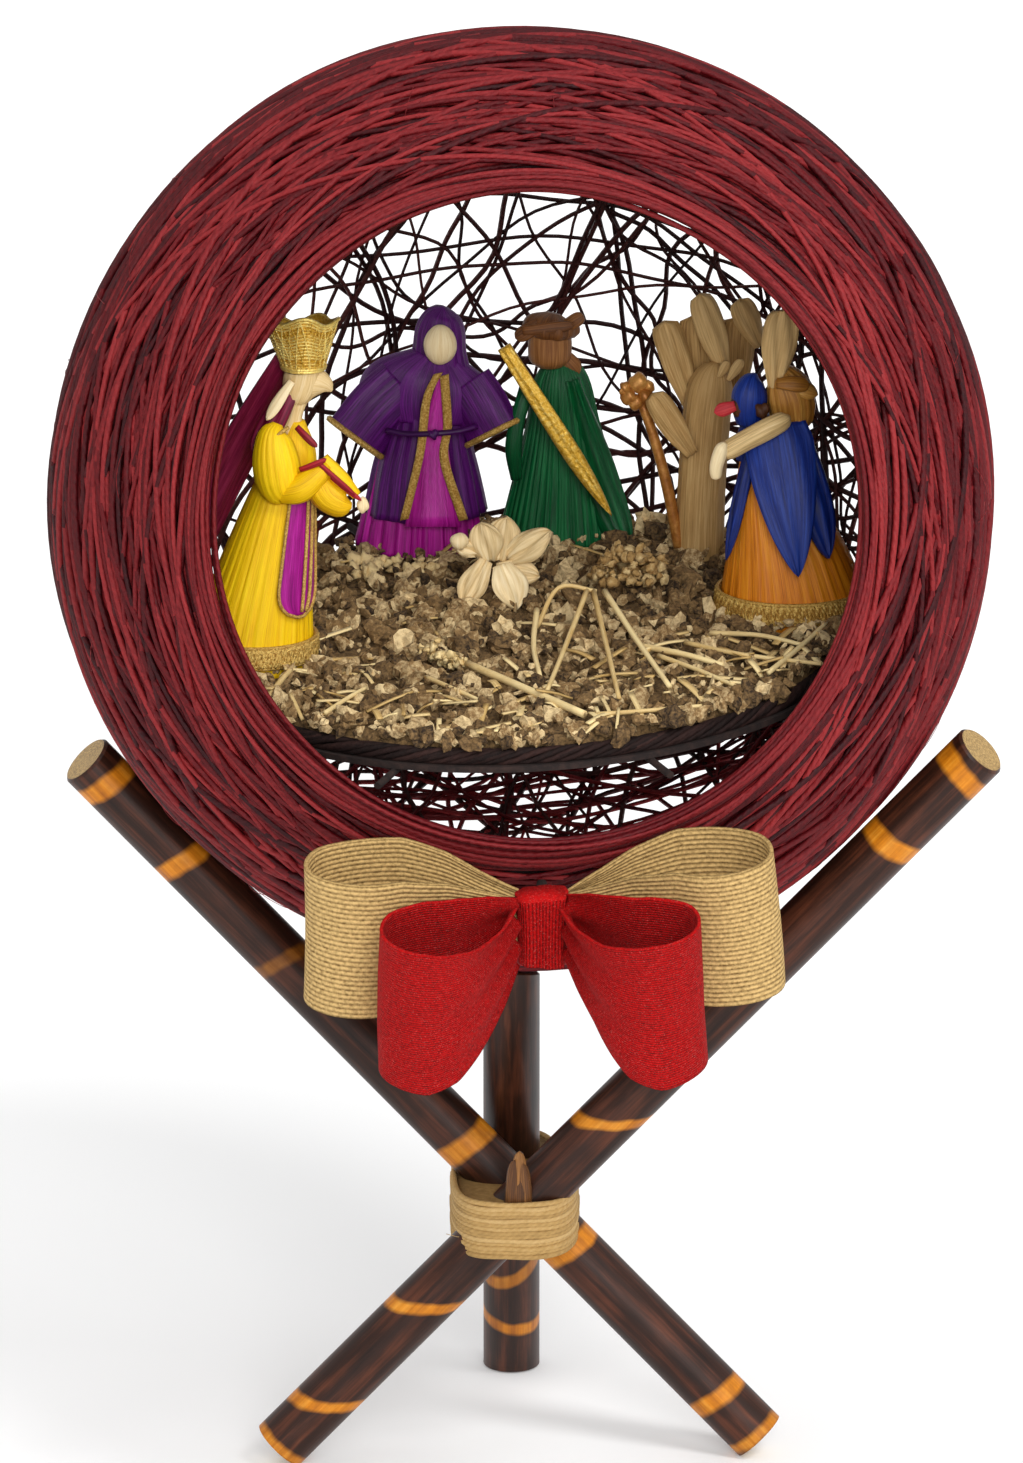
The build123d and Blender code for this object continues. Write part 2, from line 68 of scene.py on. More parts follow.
def on_bed(x, y, up=0.0):
    """A place over the ground cover."""
    return at(x, y, bed_height(x, y) + up)


# ---- meshes ---------------------------------------------------------------------------------
class Piece:
    """Collects surfaces and makes one mesh object of them."""

    def __init__(self, name):
        self.name, self.count = name, 0
        self.points, self.loops, self.totals, self.uvs, self.tones = [], [], [], [], []

    def grid(self, rows, tone=0.5, u=None, v=None, caps=True):
        """rows is (R, S, 3), and the last column joins the first."""
        rows = np.asarray(rows, float)
        r, s = rows.shape[:2]
        left = np.arange(r * s).reshape(r, s) + self.count
        right = np.roll(left, -1, 1)
        quads = np.stack([left[:-1], right[:-1], right[1:], left[1:]], -1).reshape(-1, 4)
        u = np.arange(r, dtype=float) if u is None else np.asarray(u, float)
        v = np.linspace(0, 1, s + 1) if v is None else np.asarray(v, float)
        grid_u, grid_v = np.meshgrid(u, v, indexing="ij")
        plane = np.stack([grid_u, grid_v], -1)
        uv = np.stack([plane[:-1, :-1], plane[:-1, 1:], plane[1:, 1:], plane[1:, :-1]], 2).reshape(-1, 2)
        self.points.append(rows.reshape(-1, 3))
        self.tones.append(np.full(r * s, float(tone)))
        self.loops.append(quads.reshape(-1))
        self.totals.append(np.full(len(quads), 4))
        self.uvs.append(uv)
        if caps:
            for end in (left[0][::-1], left[-1]):
                self.loops.append(end)
                self.totals.append(np.array([s]))
                self.uvs.append(np.full((s, 2), 0.5))
        self.count += r * s

    def lump(self, shape, faces, tone):
        """A ready small triangle mesh."""
        self.points.append(shape)
        self.loops.append(faces.reshape(-1) + self.count)
        self.totals.append(np.full(len(faces), 3))
        self.uvs.append(np.zeros((faces.size, 2)))
        self.tones.append(np.full(len(shape), tone))
        self.count += len(shape)

    def make(self, material, slot, *replaces, body="globe", smooth=True):
        """One mesh object; replaces names the CAD pieces that it stands for."""
        mesh = bpy.data.meshes.new(self.name)
        points = np.concatenate(self.points) * 0.001
        loops, totals = np.concatenate(self.loops), np.concatenate(self.totals)
        mesh.vertices.add(len(points))
        mesh.vertices.foreach_set("co", points.astype(np.float32).ravel())
        mesh.loops.add(len(loops))
        mesh.loops.foreach_set("vertex_index", loops.astype(np.int32))
        mesh.polygons.add(len(totals))
        starts = np.concatenate([[0], np.cumsum(totals)[:-1]])
        mesh.polygons.foreach_set("loop_start", starts.astype(np.int32))
        mesh.polygons.foreach_set("use_smooth", np.full(len(totals), smooth))
        layer = mesh.uv_layers.new(name="UVMap")
        layer.data.foreach_set("uv", np.concatenate(self.uvs).astype(np.float32).ravel())
        tone = mesh.attributes.new("tone", "FLOAT", "POINT")
        tone.data.foreach_set("value", np.concatenate(self.tones).astype(np.float32))
        mesh.update(calc_edges=True)
        mesh.validate()
        mesh.materials.append(material)
        obj = bpy.data.objects.new(self.name, mesh)
        bpy.context.scene.collection.objects.link(obj)
        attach(obj, body)
        if replaces:
            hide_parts(*replaces)
        return obj


def lengths(path):
    """How far along the path each point lies."""
    return np.concatenate([[0], np.cumsum(np.linalg.norm(np.diff(path, axis=0), axis=1))])


def spread(points, count):
    """A smooth line through the points, with evenly spaced stations."""
    points = np.asarray(points, float)
    if len(points) == 2:
        t = np.linspace(0, 1, count)[:, None]
        return points[0] * (1 - t) + points[1] * t
    padded = np.vstack([2 * points[0] - points[1], points, 2 * points[-1] - points[-2]])
    out = []
    for i in range(len(points) - 1):
        p0, p1, p2, p3 = padded[i:i + 4]
        t = np.linspace(0, 1, 12, endpoint=False)[:, None]
        out.append(0.5 * (2 * p1 + (p2 - p0) * t + (2 * p0 - 5 * p1 + 4 * p2 - p3) * t ** 2
                          + (3 * p1 - p0 - 3 * p2 + p3) * t ** 3))
    out = np.vstack(out + [points[-1:]])
    far = lengths(out)
    where = np.linspace(0, far[-1], count)
    return np.stack([np.interp(where, far, out[:, k]) for k in range(points.shape[1])], -1)


def frames(path, ref):
    """Unit vectors along the path, towards ref and across both."""
    tangent = unit(np.gradient(path, axis=0))
    ref = np.broadcast_to(np.asarray(ref, float), path.shape)
    normal = unit(ref - np.sum(ref * tangent, 1, keepdims=True) * tangent)
    return tangent, normal, np.cross(tangent, normal)


def tube(piece, path, radius, sides=5, ref=(0.13, 0.2, 1.0), tone=0.5, closed_path=False):
    """A round thread along a path; radius may differ along it."""
    tangent, normal, across = frames(path, ref)
    angle = np.arange(sides) * 2 * np.pi / sides
    radius = np.broadcast_to(np.asarray(radius, float), len(path))[:, None, None]
    rows = path[:, None] + radius * (np.cos(angle)[None, :, None] * normal[:, None]
                                     + np.sin(angle)[None, :, None] * across[:, None])
    piece.grid(rows, tone, u=lengths(path), caps=not closed_path)


def body(piece, spine, sides=64, pleats=0, depth=0.0, tone=0.5, ref=(1, 0, 0), rough=0.0,
         stations=24, turn=0.0, fade=0.7):
    """A rounded or pleated piece. Its spine is x, y, z and the half widths along ref and across it."""
    spine = np.array(spine, float)
    spine[:, :3] += GLOBE
    both = spread(spine, stations)
    path, size = both[:, :3], np.maximum(both[:, 3:], 0.05)
    _, normal, across = frames(path, ref)
    angle = np.arange(sides) * 2 * np.pi / sides + turn
    share = np.linspace(0, 1, stations)[:, None]
    wave = np.zeros((stations, sides))
    if pleats:
        phase = rng.uniform(0, 6.28, 4)
        wave += np.sin(pleats * angle + phase[0] + 1.2 * np.sin(3 * angle + phase[1]))[None]
        wave += 0.6 * np.sin(round(pleats * 1.7) * angle + phase[2] + 2.0 * share)
        wave += 0.25 * np.sin(round(pleats * 0.37 + 1) * angle + phase[3])[None]
    scale = 1 + depth * wave * (1 - fade * share)
    if rough:
        scale = scale + rough * rng.normal(size=(1, sides)) * (1 - 0.5 * share)
    rows = path[:, None] + scale[..., None] * (
        (size[:, :1, None] * np.cos(angle)[None, :, None]) * normal[:, None]
        + (size[:, 1:, None] * np.sin(angle)[None, :, None]) * across[:, None])
    around = 2 * np.pi * float(size.max())
    piece.grid(rows, tone, u=lengths(path), v=np.linspace(0, around, sides + 1))
    return rows


def ball(piece, centre, radii, sides=20, rings=12, tone=0.5, dent=0.0):
    """A ball with its centre given from the globe's centre."""
    lat = np.linspace(-np.pi / 2, np.pi / 2, rings)
    lon = np.arange(sides) * 2 * np.pi / sides
    radii = np.broadcast_to(np.asarray(radii, float), 3)
    unit_ball = np.stack([np.cos(lat)[:, None] * np.cos(lon), np.cos(lat)[:, None] * np.sin(lon),
                          np.sin(lat)[:, None] * np.ones(sides)], -1)
    bump = 1 + dent * np.sin(unit_ball[..., :1] * 4 + unit_ball[..., 2:] * 3 + rng.uniform(0, 6, 1))
    piece.grid(at(*centre) + unit_ball * radii * bump, tone, u=(lat + 1.6) * radii[2],
               v=np.linspace(0, 6.28 * radii[0], sides + 1))


def petal(piece, base, tip, width, facing=(0, -1, 0), bend=0.0, cup=0.15, thick=0.7, tone=0.5, root=0.35,
          blunt=1.0, ripple=0.0, widest=0.6, twist=0.0, stations=18, across=9):
    """A husk petal from base to tip; bend bows it towards facing and cup curls its sides."""
    base, tip = at(*base), at(*tip)
    t = np.linspace(0, 1, stations)
    along = unit(tip - base)
    face = unit(np.asarray(facing, float) - np.dot(facing, along) * along)
    edge = np.cross(along, face)
    spine = base + (tip - base) * t[:, None] + face * (bend * 4 * t * (1 - t))[:, None]
    rise = root + (1 - root) * np.sin(np.minimum(t / widest, 1) * np.pi / 2) ** 1.3
    past = np.clip((t - widest) / (1 - widest), 0, 1)
    fall = np.clip(1 - past ** (1.6 + blunt), 0.0, 1) ** (1 / (1 + blunt))
    half = width / 2 * rise * fall + 0.05
    s = np.linspace(-1, 1, across)
    turn = twist * t
    e = np.cos(turn)[:, None] * edge + np.sin(turn)[:, None] * face
    f = -np.sin(turn)[:, None] * edge + np.cos(turn)[:, None] * face
    wave = ripple * np.sin(s[None] * 7 + t[:, None] * 5 + rng.uniform(0, 6))
    lift = (-cup * s ** 2)[None] * half[:, None] * 2 + wave
    flat = spine[:, None] + e[:, None] * (half[:, None] * s[None])[..., None]
    top = flat + f[:, None] * (lift + thick / 2)[..., None]
    low = flat + f[:, None] * (lift - thick / 2)[..., None]
    rows = np.concatenate([top, low[:, ::-1]], 1)
    mm = np.concatenate([s, s[::-1] + 3, [-1]]) * width / 2
    piece.grid(rows, tone, u=lengths(spine), v=mm)


def strip(piece, path, width, across_dir, thick=0.8, tone=0.5):
    """A flat band along a path."""
    path = np.asarray(path, float)
    tangent = unit(np.gradient(path, axis=0))
    e = unit(np.broadcast_to(np.asarray(across_dir, float), path.shape))
    f = np.cross(tangent, e)
    w = np.broadcast_to(np.asarray(width, float), len(path))[:, None] / 2
    rows = np.stack([path - e * w + f * thick / 2, path + e * w + f * thick / 2,
                     path + e * w - f * thick / 2, path - e * w - f * thick / 2], 1)
    piece.grid(rows, tone, u=lengths(path), v=np.array((0, 1, 1.2, 2.2, 2.4)) * float(np.max(w)) * 2)


# ---- materials --------------------------------------------------------------------------------
class Shader:
    """Builds one material out of nodes."""

    def __init__(self, name):
        self.material = bpy.data.materials.new(name)
        self.material.use_nodes = True
        self.tree = self.material.node_tree
        self.bsdf = self.tree.nodes["Principled BSDF"]

    def add(self, kind, *sources, **values):
        """A node; sources go to its inputs in order, as sockets or constants."""
        node = self.tree.nodes.new("ShaderNode" + kind)
        for key, value in values.items():
            setattr(node, key, value)
        for i, source in enumerate(sources):
            self.plug(source, node.inputs[i])
        return node

    def plug(self, source, socket):
        """Give a socket, a node's first output or a constant to an input."""
        if isinstance(source, bpy.types.NodeSocket):
            self.tree.links.new(source, socket)
        elif isinstance(source, bpy.types.Node):
            self.tree.links.new(source.outputs[0], socket)
        else:
            socket.default_value = source

    def math(self, operation, *sources):
        return self.add("Math", *sources, operation=operation)

    def plus(self, a, b):
        return self.math("ADD", a, b)

    def times(self, a, b):
        return self.math("MULTIPLY", a, b)

    def uv(self):
        """Millimetres along a piece and around it."""
        return self.add("SeparateXYZ", self.add("UVMap", uv_map="UVMap"))

    def noise(self, vector, scale, detail=3.0, rough=0.6):
        node = self.add("TexNoise")
        self.plug(vector, node.inputs["Vector"])
        node.inputs["Scale"].default_value = scale
        node.inputs["Detail"].default_value = detail
        node.inputs["Roughness"].default_value = rough
        return node.outputs["Fac"]

    def ramp(self, factor, *stops):
        node = self.add("ValToRGB", factor)
        elements = node.color_ramp.elements
        while len(elements) < len(stops):
            elements.new(0.5)
        for element, (place, colour) in zip(elements, stops):
            element.position = place
            element.color = (*colour, 1)
        return node.outputs["Color"]

    def mix(self, factor, a, b):
        return self.add("MixRGB", factor, a, b).outputs[0]

    def step(self, value, start, end, top=1.0):
        """0 up to start, rising to top at end; start may be the larger of the two."""
        node = self.add("MapRange", value)
        node.inputs["From Min"].default_value = start
        node.inputs["From Max"].default_value = end
        node.inputs["To Max"].default_value = top
        return node.outputs[0]

    def along(self, place, direction):
        return self.add("VectorMath", place, tuple(direction), operation="DOT_PRODUCT").outputs["Value"]

    def tone(self):
        """The shade given to each piece of the mesh."""
        return self.add("Attribute", attribute_name="tone").outputs["Fac"]

    def finish(self, colour, rough, bump, strength, distance, metal=0.0, specular=0.4):
        self.plug(colour, self.bsdf.inputs["Base Color"])
        self.plug(rough, self.bsdf.inputs["Roughness"])
        self.bsdf.inputs["Metallic"].default_value = metal
        self.bsdf.inputs["Specular IOR Level"].default_value = specular
        node = self.add("Bump")
        node.inputs["Strength"].default_value = strength
        node.inputs["Distance"].default_value = distance
        self.plug(bump, node.inputs["Height"])
        self.tree.links.new(node.outputs[0], self.bsdf.inputs["Normal"])
        return self.material


def rgb(r, g, b):
    """Linear colour from display values."""
    return tuple((c / 255 / 12.92) if c <= 10 else ((c / 255 + 0.055) / 1.055) ** 2.4 for c in (r, g, b))


def thread_look(name, dark, middle, light, pitch, rough=0.55):
    """Twisted thread with painted shade in the grooves of its twist; pitch is the length of one turn."""
    s = Shader(name)
    uv = s.uv()
    turns = s.plus(s.math("DIVIDE", uv.outputs[0], pitch), s.times(uv.outputs[1], 2.0))
    twist = s.plus(s.times(s.math("SINE", s.times(turns, 6.283)), 0.5), 0.5)
    place = s.add("TexCoord").outputs["Object"]
    patch = s.noise(place, 500.0, 3.0)
    mixed = s.plus(s.times(s.tone(), 0.75), s.times(patch, 0.3))
    # Painted shade: the colour darkens a little in the grooves of the twist.
    mixed = s.math("SUBTRACT", mixed, s.times(s.math("SUBTRACT", 1.0, twist), 0.06))
    colour = s.ramp(mixed, (0.12, rgb(*dark)), (0.5, rgb(*middle)), (0.95, rgb(*light)))
    fuzz = s.noise(place, 1400.0, 2.0)
    return s.finish(colour, rough, s.plus(s.times(twist, 0.4), fuzz), 0.5, 0.0006, specular=0.2)


def husk_look(name, dark, middle, light, fine, rough=0.5):
    """Dry husk: fine fibres along its length."""
    s = Shader(name)
    uv = s.uv()
    long = s.add("CombineXYZ", s.times(uv.outputs[0], 0.05), s.times(uv.outputs[1], fine), 0.0)
    fibre = s.noise(long, 1.0, 4.0, 0.7)
    broad = s.add("CombineXYZ", s.times(uv.outputs[0], 0.03), s.times(uv.outputs[1], 0.35), 0.0)
    patch = s.noise(broad, 1.0, 2.0)
    mixed = s.plus(s.times(fibre, 0.75), s.times(patch, 0.35))
    mixed = s.plus(mixed, s.times(s.math("SUBTRACT", s.tone(), 0.5), 0.6))
    colour = s.ramp(mixed, (0.3, rgb(*dark)), (0.52, rgb(*middle)), (0.78, rgb(*light)))
    return s.finish(colour, rough, fibre, 0.45, 0.0006, specular=0.3)


def weave_look(name, dark, light, course, stitch, strength, painted_glint, even):
    """A woven ribbon whose courses run along its length; even is the courses' share of the pattern, and that
    share is painted shade in the grooves between courses and stitches.
    """
    s = Shader(name)
    uv = s.uv()
    row = s.math("DIVIDE", uv.outputs[1], course)
    odd = s.times(s.math("FLOOR", row), 3.1416)
    cord = s.math("ABSOLUTE", s.math("SINE", s.times(row, 3.1416)))
    loops = s.math("SINE", s.plus(s.times(uv.outputs[0], 6.283 / stitch), odd))
    loops = s.plus(s.times(loops, 0.5), 0.5)
    height = s.times(cord, s.plus(s.times(loops, 0.3), 0.7))
    place = s.add("TexCoord").outputs["Object"]
    fuzz = s.noise(place, 900.0, 3.0, 0.7)
    # Painted shade: the colour follows the weave's height, darker in the grooves between courses and between
    # stitches.
    mixed = s.plus(s.times(height, even), s.times(fuzz, 1.2 - even))
    colour = s.ramp(mixed, (0.28, rgb(*dark)), (0.78, rgb(*light)))
    # Painted glints: specks of pale pink mixed into the colour stand in for sparkling highlights.
    if painted_glint:
        glint = s.noise(place, 2600.0, 1.0, 0.5)
        lit = s.ramp(glint, (0.62, (0, 0, 0)), (0.72, (1, 1, 1)))
        colour = s.mix(s.times(lit, painted_glint), colour, (*rgb(250, 150, 140), 1))
    bump = s.plus(height, s.times(fuzz, 0.5))
    return s.finish(colour, 0.85, bump, strength, 0.0007, specular=0.12)


def grain_look(name, dark, middle, light, scale, rough=0.85, strength=0.5, metal=0.0):
    """Crumbly or beaten stuff with grain of one size."""
    s = Shader(name)
    place = s.add("TexCoord").outputs["Object"]
    grain = s.noise(place, scale, 4.0, 0.7)
    mixed = s.plus(s.times(grain, 0.7), s.times(s.tone(), 0.45))
    colour = s.ramp(mixed, (0.3, rgb(*dark)), (0.55, rgb(*middle)), (0.8, rgb(*light)))
    return s.finish(colour, rough, grain, strength, 0.0006, metal=metal)


BAND_BLUR = 0.0009  # softness of an amber band's edges, in metres


def stick_look(name, foot, head, bands):
    """Dark stained wood with amber bands and pale end grain.

    Each band is its share of the stick's length, half its width, its slant and its strength.
    """
    s = Shader(name)
    foot, head = np.array(foot) * 0.001, np.array(head) * 0.001
    along = unit(head - foot)
    place = s.add("TexCoord").outputs["Object"]
    local = s.add("VectorMath", place, tuple(foot), operation="SUBTRACT")
    far = s.along(local, along)
    side = unit(np.cross(along, (0.3, -1, 0.2)))
    x, y = s.along(local, side), s.along(local, np.cross(along, side))
    streak = s.add("CombineXYZ", s.times(x, 420.0), s.times(y, 420.0), s.times(far, 22.0))
    grain = s.noise(streak, 1.0, 5.0, 0.65)
    blotch = s.noise(place, 45.0, 2.0)
    tone = s.plus(s.times(grain, 0.8), s.times(blotch, 0.35))
    colour = s.ramp(tone, (0.35, rgb(18, 9, 6)), (0.56, rgb(46, 24, 15)), (0.72, rgb(80, 42, 26)),
                    (0.9, rgb(112, 64, 40)))
    amber = s.ramp(tone, (0.35, rgb(140, 72, 8)), (0.6, rgb(200, 122, 20)), (0.85, rgb(228, 160, 60)))
    wobble = s.times(s.math("SUBTRACT", s.noise(place, 70.0, 2.0), 0.5), 0.004)
    length = float(np.linalg.norm(head - foot))
    total = None
    for middle, half, skew, depth in bands:
        lean = s.plus(s.times(x, skew), far)
        gap = s.math("ABSOLUTE", s.math("SUBTRACT", s.plus(lean, wobble), middle * length))
        band = s.step(gap, half * 0.001 + BAND_BLUR, half * 0.001 - BAND_BLUR, depth)
        total = band if total is None else s.math("MAXIMUM", total, band)
    worn = s.plus(s.times(s.noise(place, 260.0, 3.0), 0.7), 0.6)
    patchy = s.times(total, worn)
    colour = s.mix(s.math("MINIMUM", patchy, 1.0), colour, amber)
    normal = s.add("NewGeometry").outputs["Normal"]
    is_end = s.step(s.math("ABSOLUTE", s.along(normal, along)), 0.93, 0.97)
    radius = s.math("SQRT", s.plus(s.times(x, x), s.times(y, y)))
    core = s.noise(place, 1300.0, 3.0, 0.7)
    rings = s.math("SINE", s.times(radius, 5500.0))
    wood = s.ramp(s.plus(core, s.times(rings, 0.05)), (0.3, rgb(118, 92, 50)),
                  (0.6, rgb(186, 152, 92)), (0.8, rgb(214, 184, 124)))
    wood = s.mix(s.step(radius, 0.0079, 0.0085), wood, (*rgb(92, 56, 22), 1))
    colour = s.mix(is_end, colour, wood)
    return s.finish(colour, 0.4, grain, 0.25, 0.0003, specular=0.25)


BURGUNDY = thread_look("burgundy thread", (44, 3, 8), (94, 10, 17), (150, 42, 44), 3.6)
# The net's thread is drawn darker than the band's: partly its own darker dye, partly painted shade, as the
# globe's back is seen from inside.
DARK_SHADED_THREAD = thread_look("dark thread partly in painted shade", (30, 10, 9), (56, 22, 20), (96, 46, 40), 2.6)
TWINE = thread_look("dark twine", (14, 7, 6), (40, 23, 20), (74, 48, 42), 4.0, 0.8)
JUTE_CORD = thread_look("jute cord", (112, 84, 46), (176, 142, 88), (216, 186, 134), 2.4, 0.8)
JUTE = weave_look("woven jute", (92, 64, 28), (208, 174, 114), 1.7, 3.2, 0.7, 0.0, 0.34)
RED = weave_look("red ribbon", (56, 0, 1), (178, 9, 10), 0.9, 0.9, 0.6, 0.22, 0.36)
YELLOW = husk_look("yellow husk", (172, 116, 0), (236, 184, 0), (255, 222, 20), 2.2)
PALE = husk_look("pale husk", (150, 118, 70), (222, 190, 132), (246, 226, 182), 1.2)
CREAM = husk_look("cream husk", (176, 144, 92), (226, 200, 150), (248, 232, 194), 0.8)
MAGENTA = husk_look("magenta husk", (84, 0, 70), (148, 4, 120), (204, 44, 172), 2.0, 0.4)
PURPLE = husk_look("purple husk", (28, 0, 38), (66, 4, 82), (116, 28, 136), 1.6, 0.45)
GREEN = husk_look("green husk", (0, 28, 16), (0, 76, 38), (12, 128, 68), 2.2, 0.4)
BEIGE = husk_look("beige husk", (118, 84, 40), (182, 144, 88), (220, 186, 128), 1.8, 0.65)
ORANGE = husk_look("orange husk", (118, 54, 0), (202, 114, 8), (240, 164, 40), 2.4, 0.4)
BLUE = husk_look("blue husk", (4, 12, 56), (12, 38, 116), (36, 72, 166), 1.2, 0.45)
CRIMSON = husk_look("crimson husk", (66, 4, 28), (118, 16, 52), (160, 46, 84), 1.6, 0.45)
SCARLET = husk_look("red husk", (96, 6, 20), (160, 20, 36), (200, 60, 60), 1.6)
TUFT = husk_look("dark brown husk", (44, 24, 10), (92, 56, 26), (160, 110, 56), 2.4)
BROWN = husk_look("brown husk", (70, 38, 16), (126, 78, 38), (172, 122, 70), 1.8)
GOLDEN = husk_look("golden husk", (96, 56, 16), (164, 108, 40), (214, 166, 84), 1.8, 0.4)
STRAW = husk_look("straw", (128, 98, 52), (198, 164, 102), (234, 210, 154), 1.0)
GOLD = grain_look("gold braid", (78, 50, 14), (170, 124, 46), (246, 212, 124), 1500.0, 0.45, 0.8, 0.35)
GOLD_MESH = grain_look("gold mesh", (120, 80, 14), (214, 164, 46), (255, 232, 140), 900.0, 0.35, 0.6, 0.5)
GOLD_PAINT = grain_look("gold paint", (88, 48, 14), (164, 104, 44), (216, 160, 84), 300.0, 0.4, 0.3, 0.3)
CRUMB = grain_look("bark crumbs", (40, 27, 15), (136, 106, 66), (226, 200, 150), 700.0, 0.9, 0.9)
SEED = grain_look("seed heads", (112, 80, 38), (178, 142, 86), (222, 196, 142), 900.0, 0.8, 0.6)
CARD = grain_look("card", (30, 20, 18), (58, 40, 34), (84, 62, 50), 300.0)
# Painted shade: the inner windings that show in the gaps of the band, drawn near black.
SHADED_INNER_WINDING = grain_look("inner winding in painted shade", (18, 3, 5), (32, 6, 9), (50, 11, 14), 400.0)


# ---- the globe's windings ----------------------------------------------------------------------
def wave(t, strength, count=3):
    """Smooth random wander round a closed loop."""
    total = np.zeros_like(t)
    for k in range(1, count + 1):
        total += rng.normal() * np.sin(k * t + rng.uniform(0, 6.28)) / k
    return total * strength


def ring(tilt, heading, spread_angle, radius, wander=0.006, rise=0.35, points=120):
    """A winding: a circle on the globe whose axis is tilted from the opening's axis."""
    m = unit(math.cos(tilt) * AXIS + math.sin(tilt) * (math.cos(heading) * SIDE + math.sin(heading) * UP))
    a = unit(np.cross(m, UP + 0.01 * SIDE))
    b = np.cross(m, a)
    t = np.linspace(0, 2 * np.pi, points)
    angle = spread_angle + wave(t, wander, 9)
    out = radius + wave(t, rise)
    direction = (np.cos(angle)[:, None] * m + np.sin(angle)[:, None]
                 * (np.cos(t)[:, None] * a + np.sin(t)[:, None] * b))
    return direction * out[:, None]


# Angles from the opening's axis.
BAND_START, BAND_END, NET_START = math.radians(46.6), math.radians(109.0), math.radians(104.0)
RIM_COUNT, NET_COUNT, LOW_COUNT, FIBRE_COUNT = 32, 150, 60, 46
# Name, windings, lowest and highest radius, and the greatest tilt.
LAYERS = (
    ("band_threads_inner", 84, 143.8, 145.6, 0.25),
    ("band_threads_middle", 96, 145.6, 147.4, 0.48),
    ("band_threads_outer", 84, 147.6, 149.3, 0.56),
)


def band_threads():
    """Three layers of windings, each more tilted than the one below."""
    for layer, count, low, high, most_tilt in LAYERS:
        piece = Piece(layer)
        for i in range(count):
            tilt = most_tilt * rng.beta(1.3, 1.1)
            span = BAND_END - BAND_START - 2 * tilt
            start = BAND_START + tilt + max(span, 0.02) * rng.uniform(0, 1) ** 1.15
            path = ring(tilt, rng.uniform(0, 2 * np.pi), start, rng.uniform(low, high),
                        rng.uniform(0.01, 0.026), points=136)
            tube(piece, GLOBE + path, rng.uniform(0.85, 1.25), 5, unit(path), rng.beta(1.4, 1.5), True)
        stands_for = ["thread_band"] if layer == "band_threads_outer" else []
        piece.make(BURGUNDY, "burgundy_thread", *stands_for)


def band_backing():
    """A dark shell, so that no light comes through between the windings; its near black colour is painted
    shade on the inner windings in the gaps.
    """
    piece = Piece("band_backing")
    polar = np.linspace(BAND_START - 0.005, BAND_END - 0.05, 24)
    turn = np.arange(160) * 2 * np.pi / 160
    circle = np.cos(turn)[:, None] * SIDE + np.sin(turn)[:, None] * UP
    rows = GLOBE + 144.6 * (np.cos(polar)[:, None, None] * AXIS + np.sin(polar)[:, None, None] * circle[None])
    piece.grid(rows, 0.4, caps=False)
    piece.make(SHADED_INNER_WINDING, "burgundy_thread")


def rim_threads():
    """Windings laid side by side round the opening."""
    piece = Piece("rim_threads")
    for i in range(RIM_COUNT):
        path = ring(rng.uniform(0, 0.012), rng.uniform(0, 6.28), math.radians(rng.uniform(45.4, 48.6)),
                    rng.uniform(142.8, 149.0), 0.009, 0.4, 160)
        tube(piece, GLOBE + path, rng.uniform(0.75, 0.98), 5, unit(path), rng.beta(2, 2.4), True)
    piece.make(BURGUNDY, "burgundy_thread", "rim_coil")


def net_arc(normal, spread_angle, radius, points=150):
    """The stretches of one wandering circle that lie in the net."""
    normal = unit(normal)
    a = unit(np.cross(normal, (0.31, 0.2, 0.9)))
    b = np.cross(normal, a)
    t = np.linspace(0, 2 * np.pi, points) + rng.uniform(0, 6.28)
    angle = spread_angle + wave(t, 0.05, 20)
    path = (np.cos(angle)[:, None] * normal + np.sin(angle)[:, None]
            * (np.cos(t)[:, None] * a + np.sin(t)[:, None] * b)) * (radius + wave(t, 0.25)[:, None])
    inside = (unit(path) @ AXIS) < math.cos(NET_START)
    cuts = np.flatnonzero(np.diff(inside.astype(int)) != 0) + 1
    return [path[run[0]:run[-1] + 1] for run in np.split(np.arange(points), cuts)
            if inside[run[0]] and len(run) > 5]


def net_threads():
    """The open net at the back, its thread darkened partly as painted shade."""
    piece = Piece("net_threads")
    for i in range(NET_COUNT):
        normal = rng.normal(size=3)
        for path in net_arc(normal, math.radians(rng.uniform(30, 90)), rng.uniform(146.6, 148.8)):
            tube(piece, GLOBE + path, rng.uniform(0.5, 1.0), 5, unit(path), rng.beta(2, 3))
    piece.make(DARK_SHADED_THREAD, "dark_thread", "thread_net")


def net_threads_low():
    """Red threads that cross the net under the floor."""
    piece = Piece("net_threads_low")
    for i in range(LOW_COUNT):
        low_point = unit(at(rng.uniform(-70, 70), rng.uniform(30, 120), rng.uniform(-130, -75)) - GLOBE)
        normal = np.cross(low_point, unit(np.array((rng.normal(), rng.normal() * 0.6, rng.normal() * 0.35))))
        for path in net_arc(normal, math.radians(rng.uniform(80, 92)), rng.uniform(146.2, 148.6)):
            keep = path[:, 2] < rng.uniform(-62, -44)
            if keep.sum() > 6:
                tube(piece, GLOBE + path[keep], rng.uniform(0.5, 0.9), 5, unit(path[keep]),
                     rng.beta(2.6, 2.2))
    piece.make(BURGUNDY, "dark_thread")


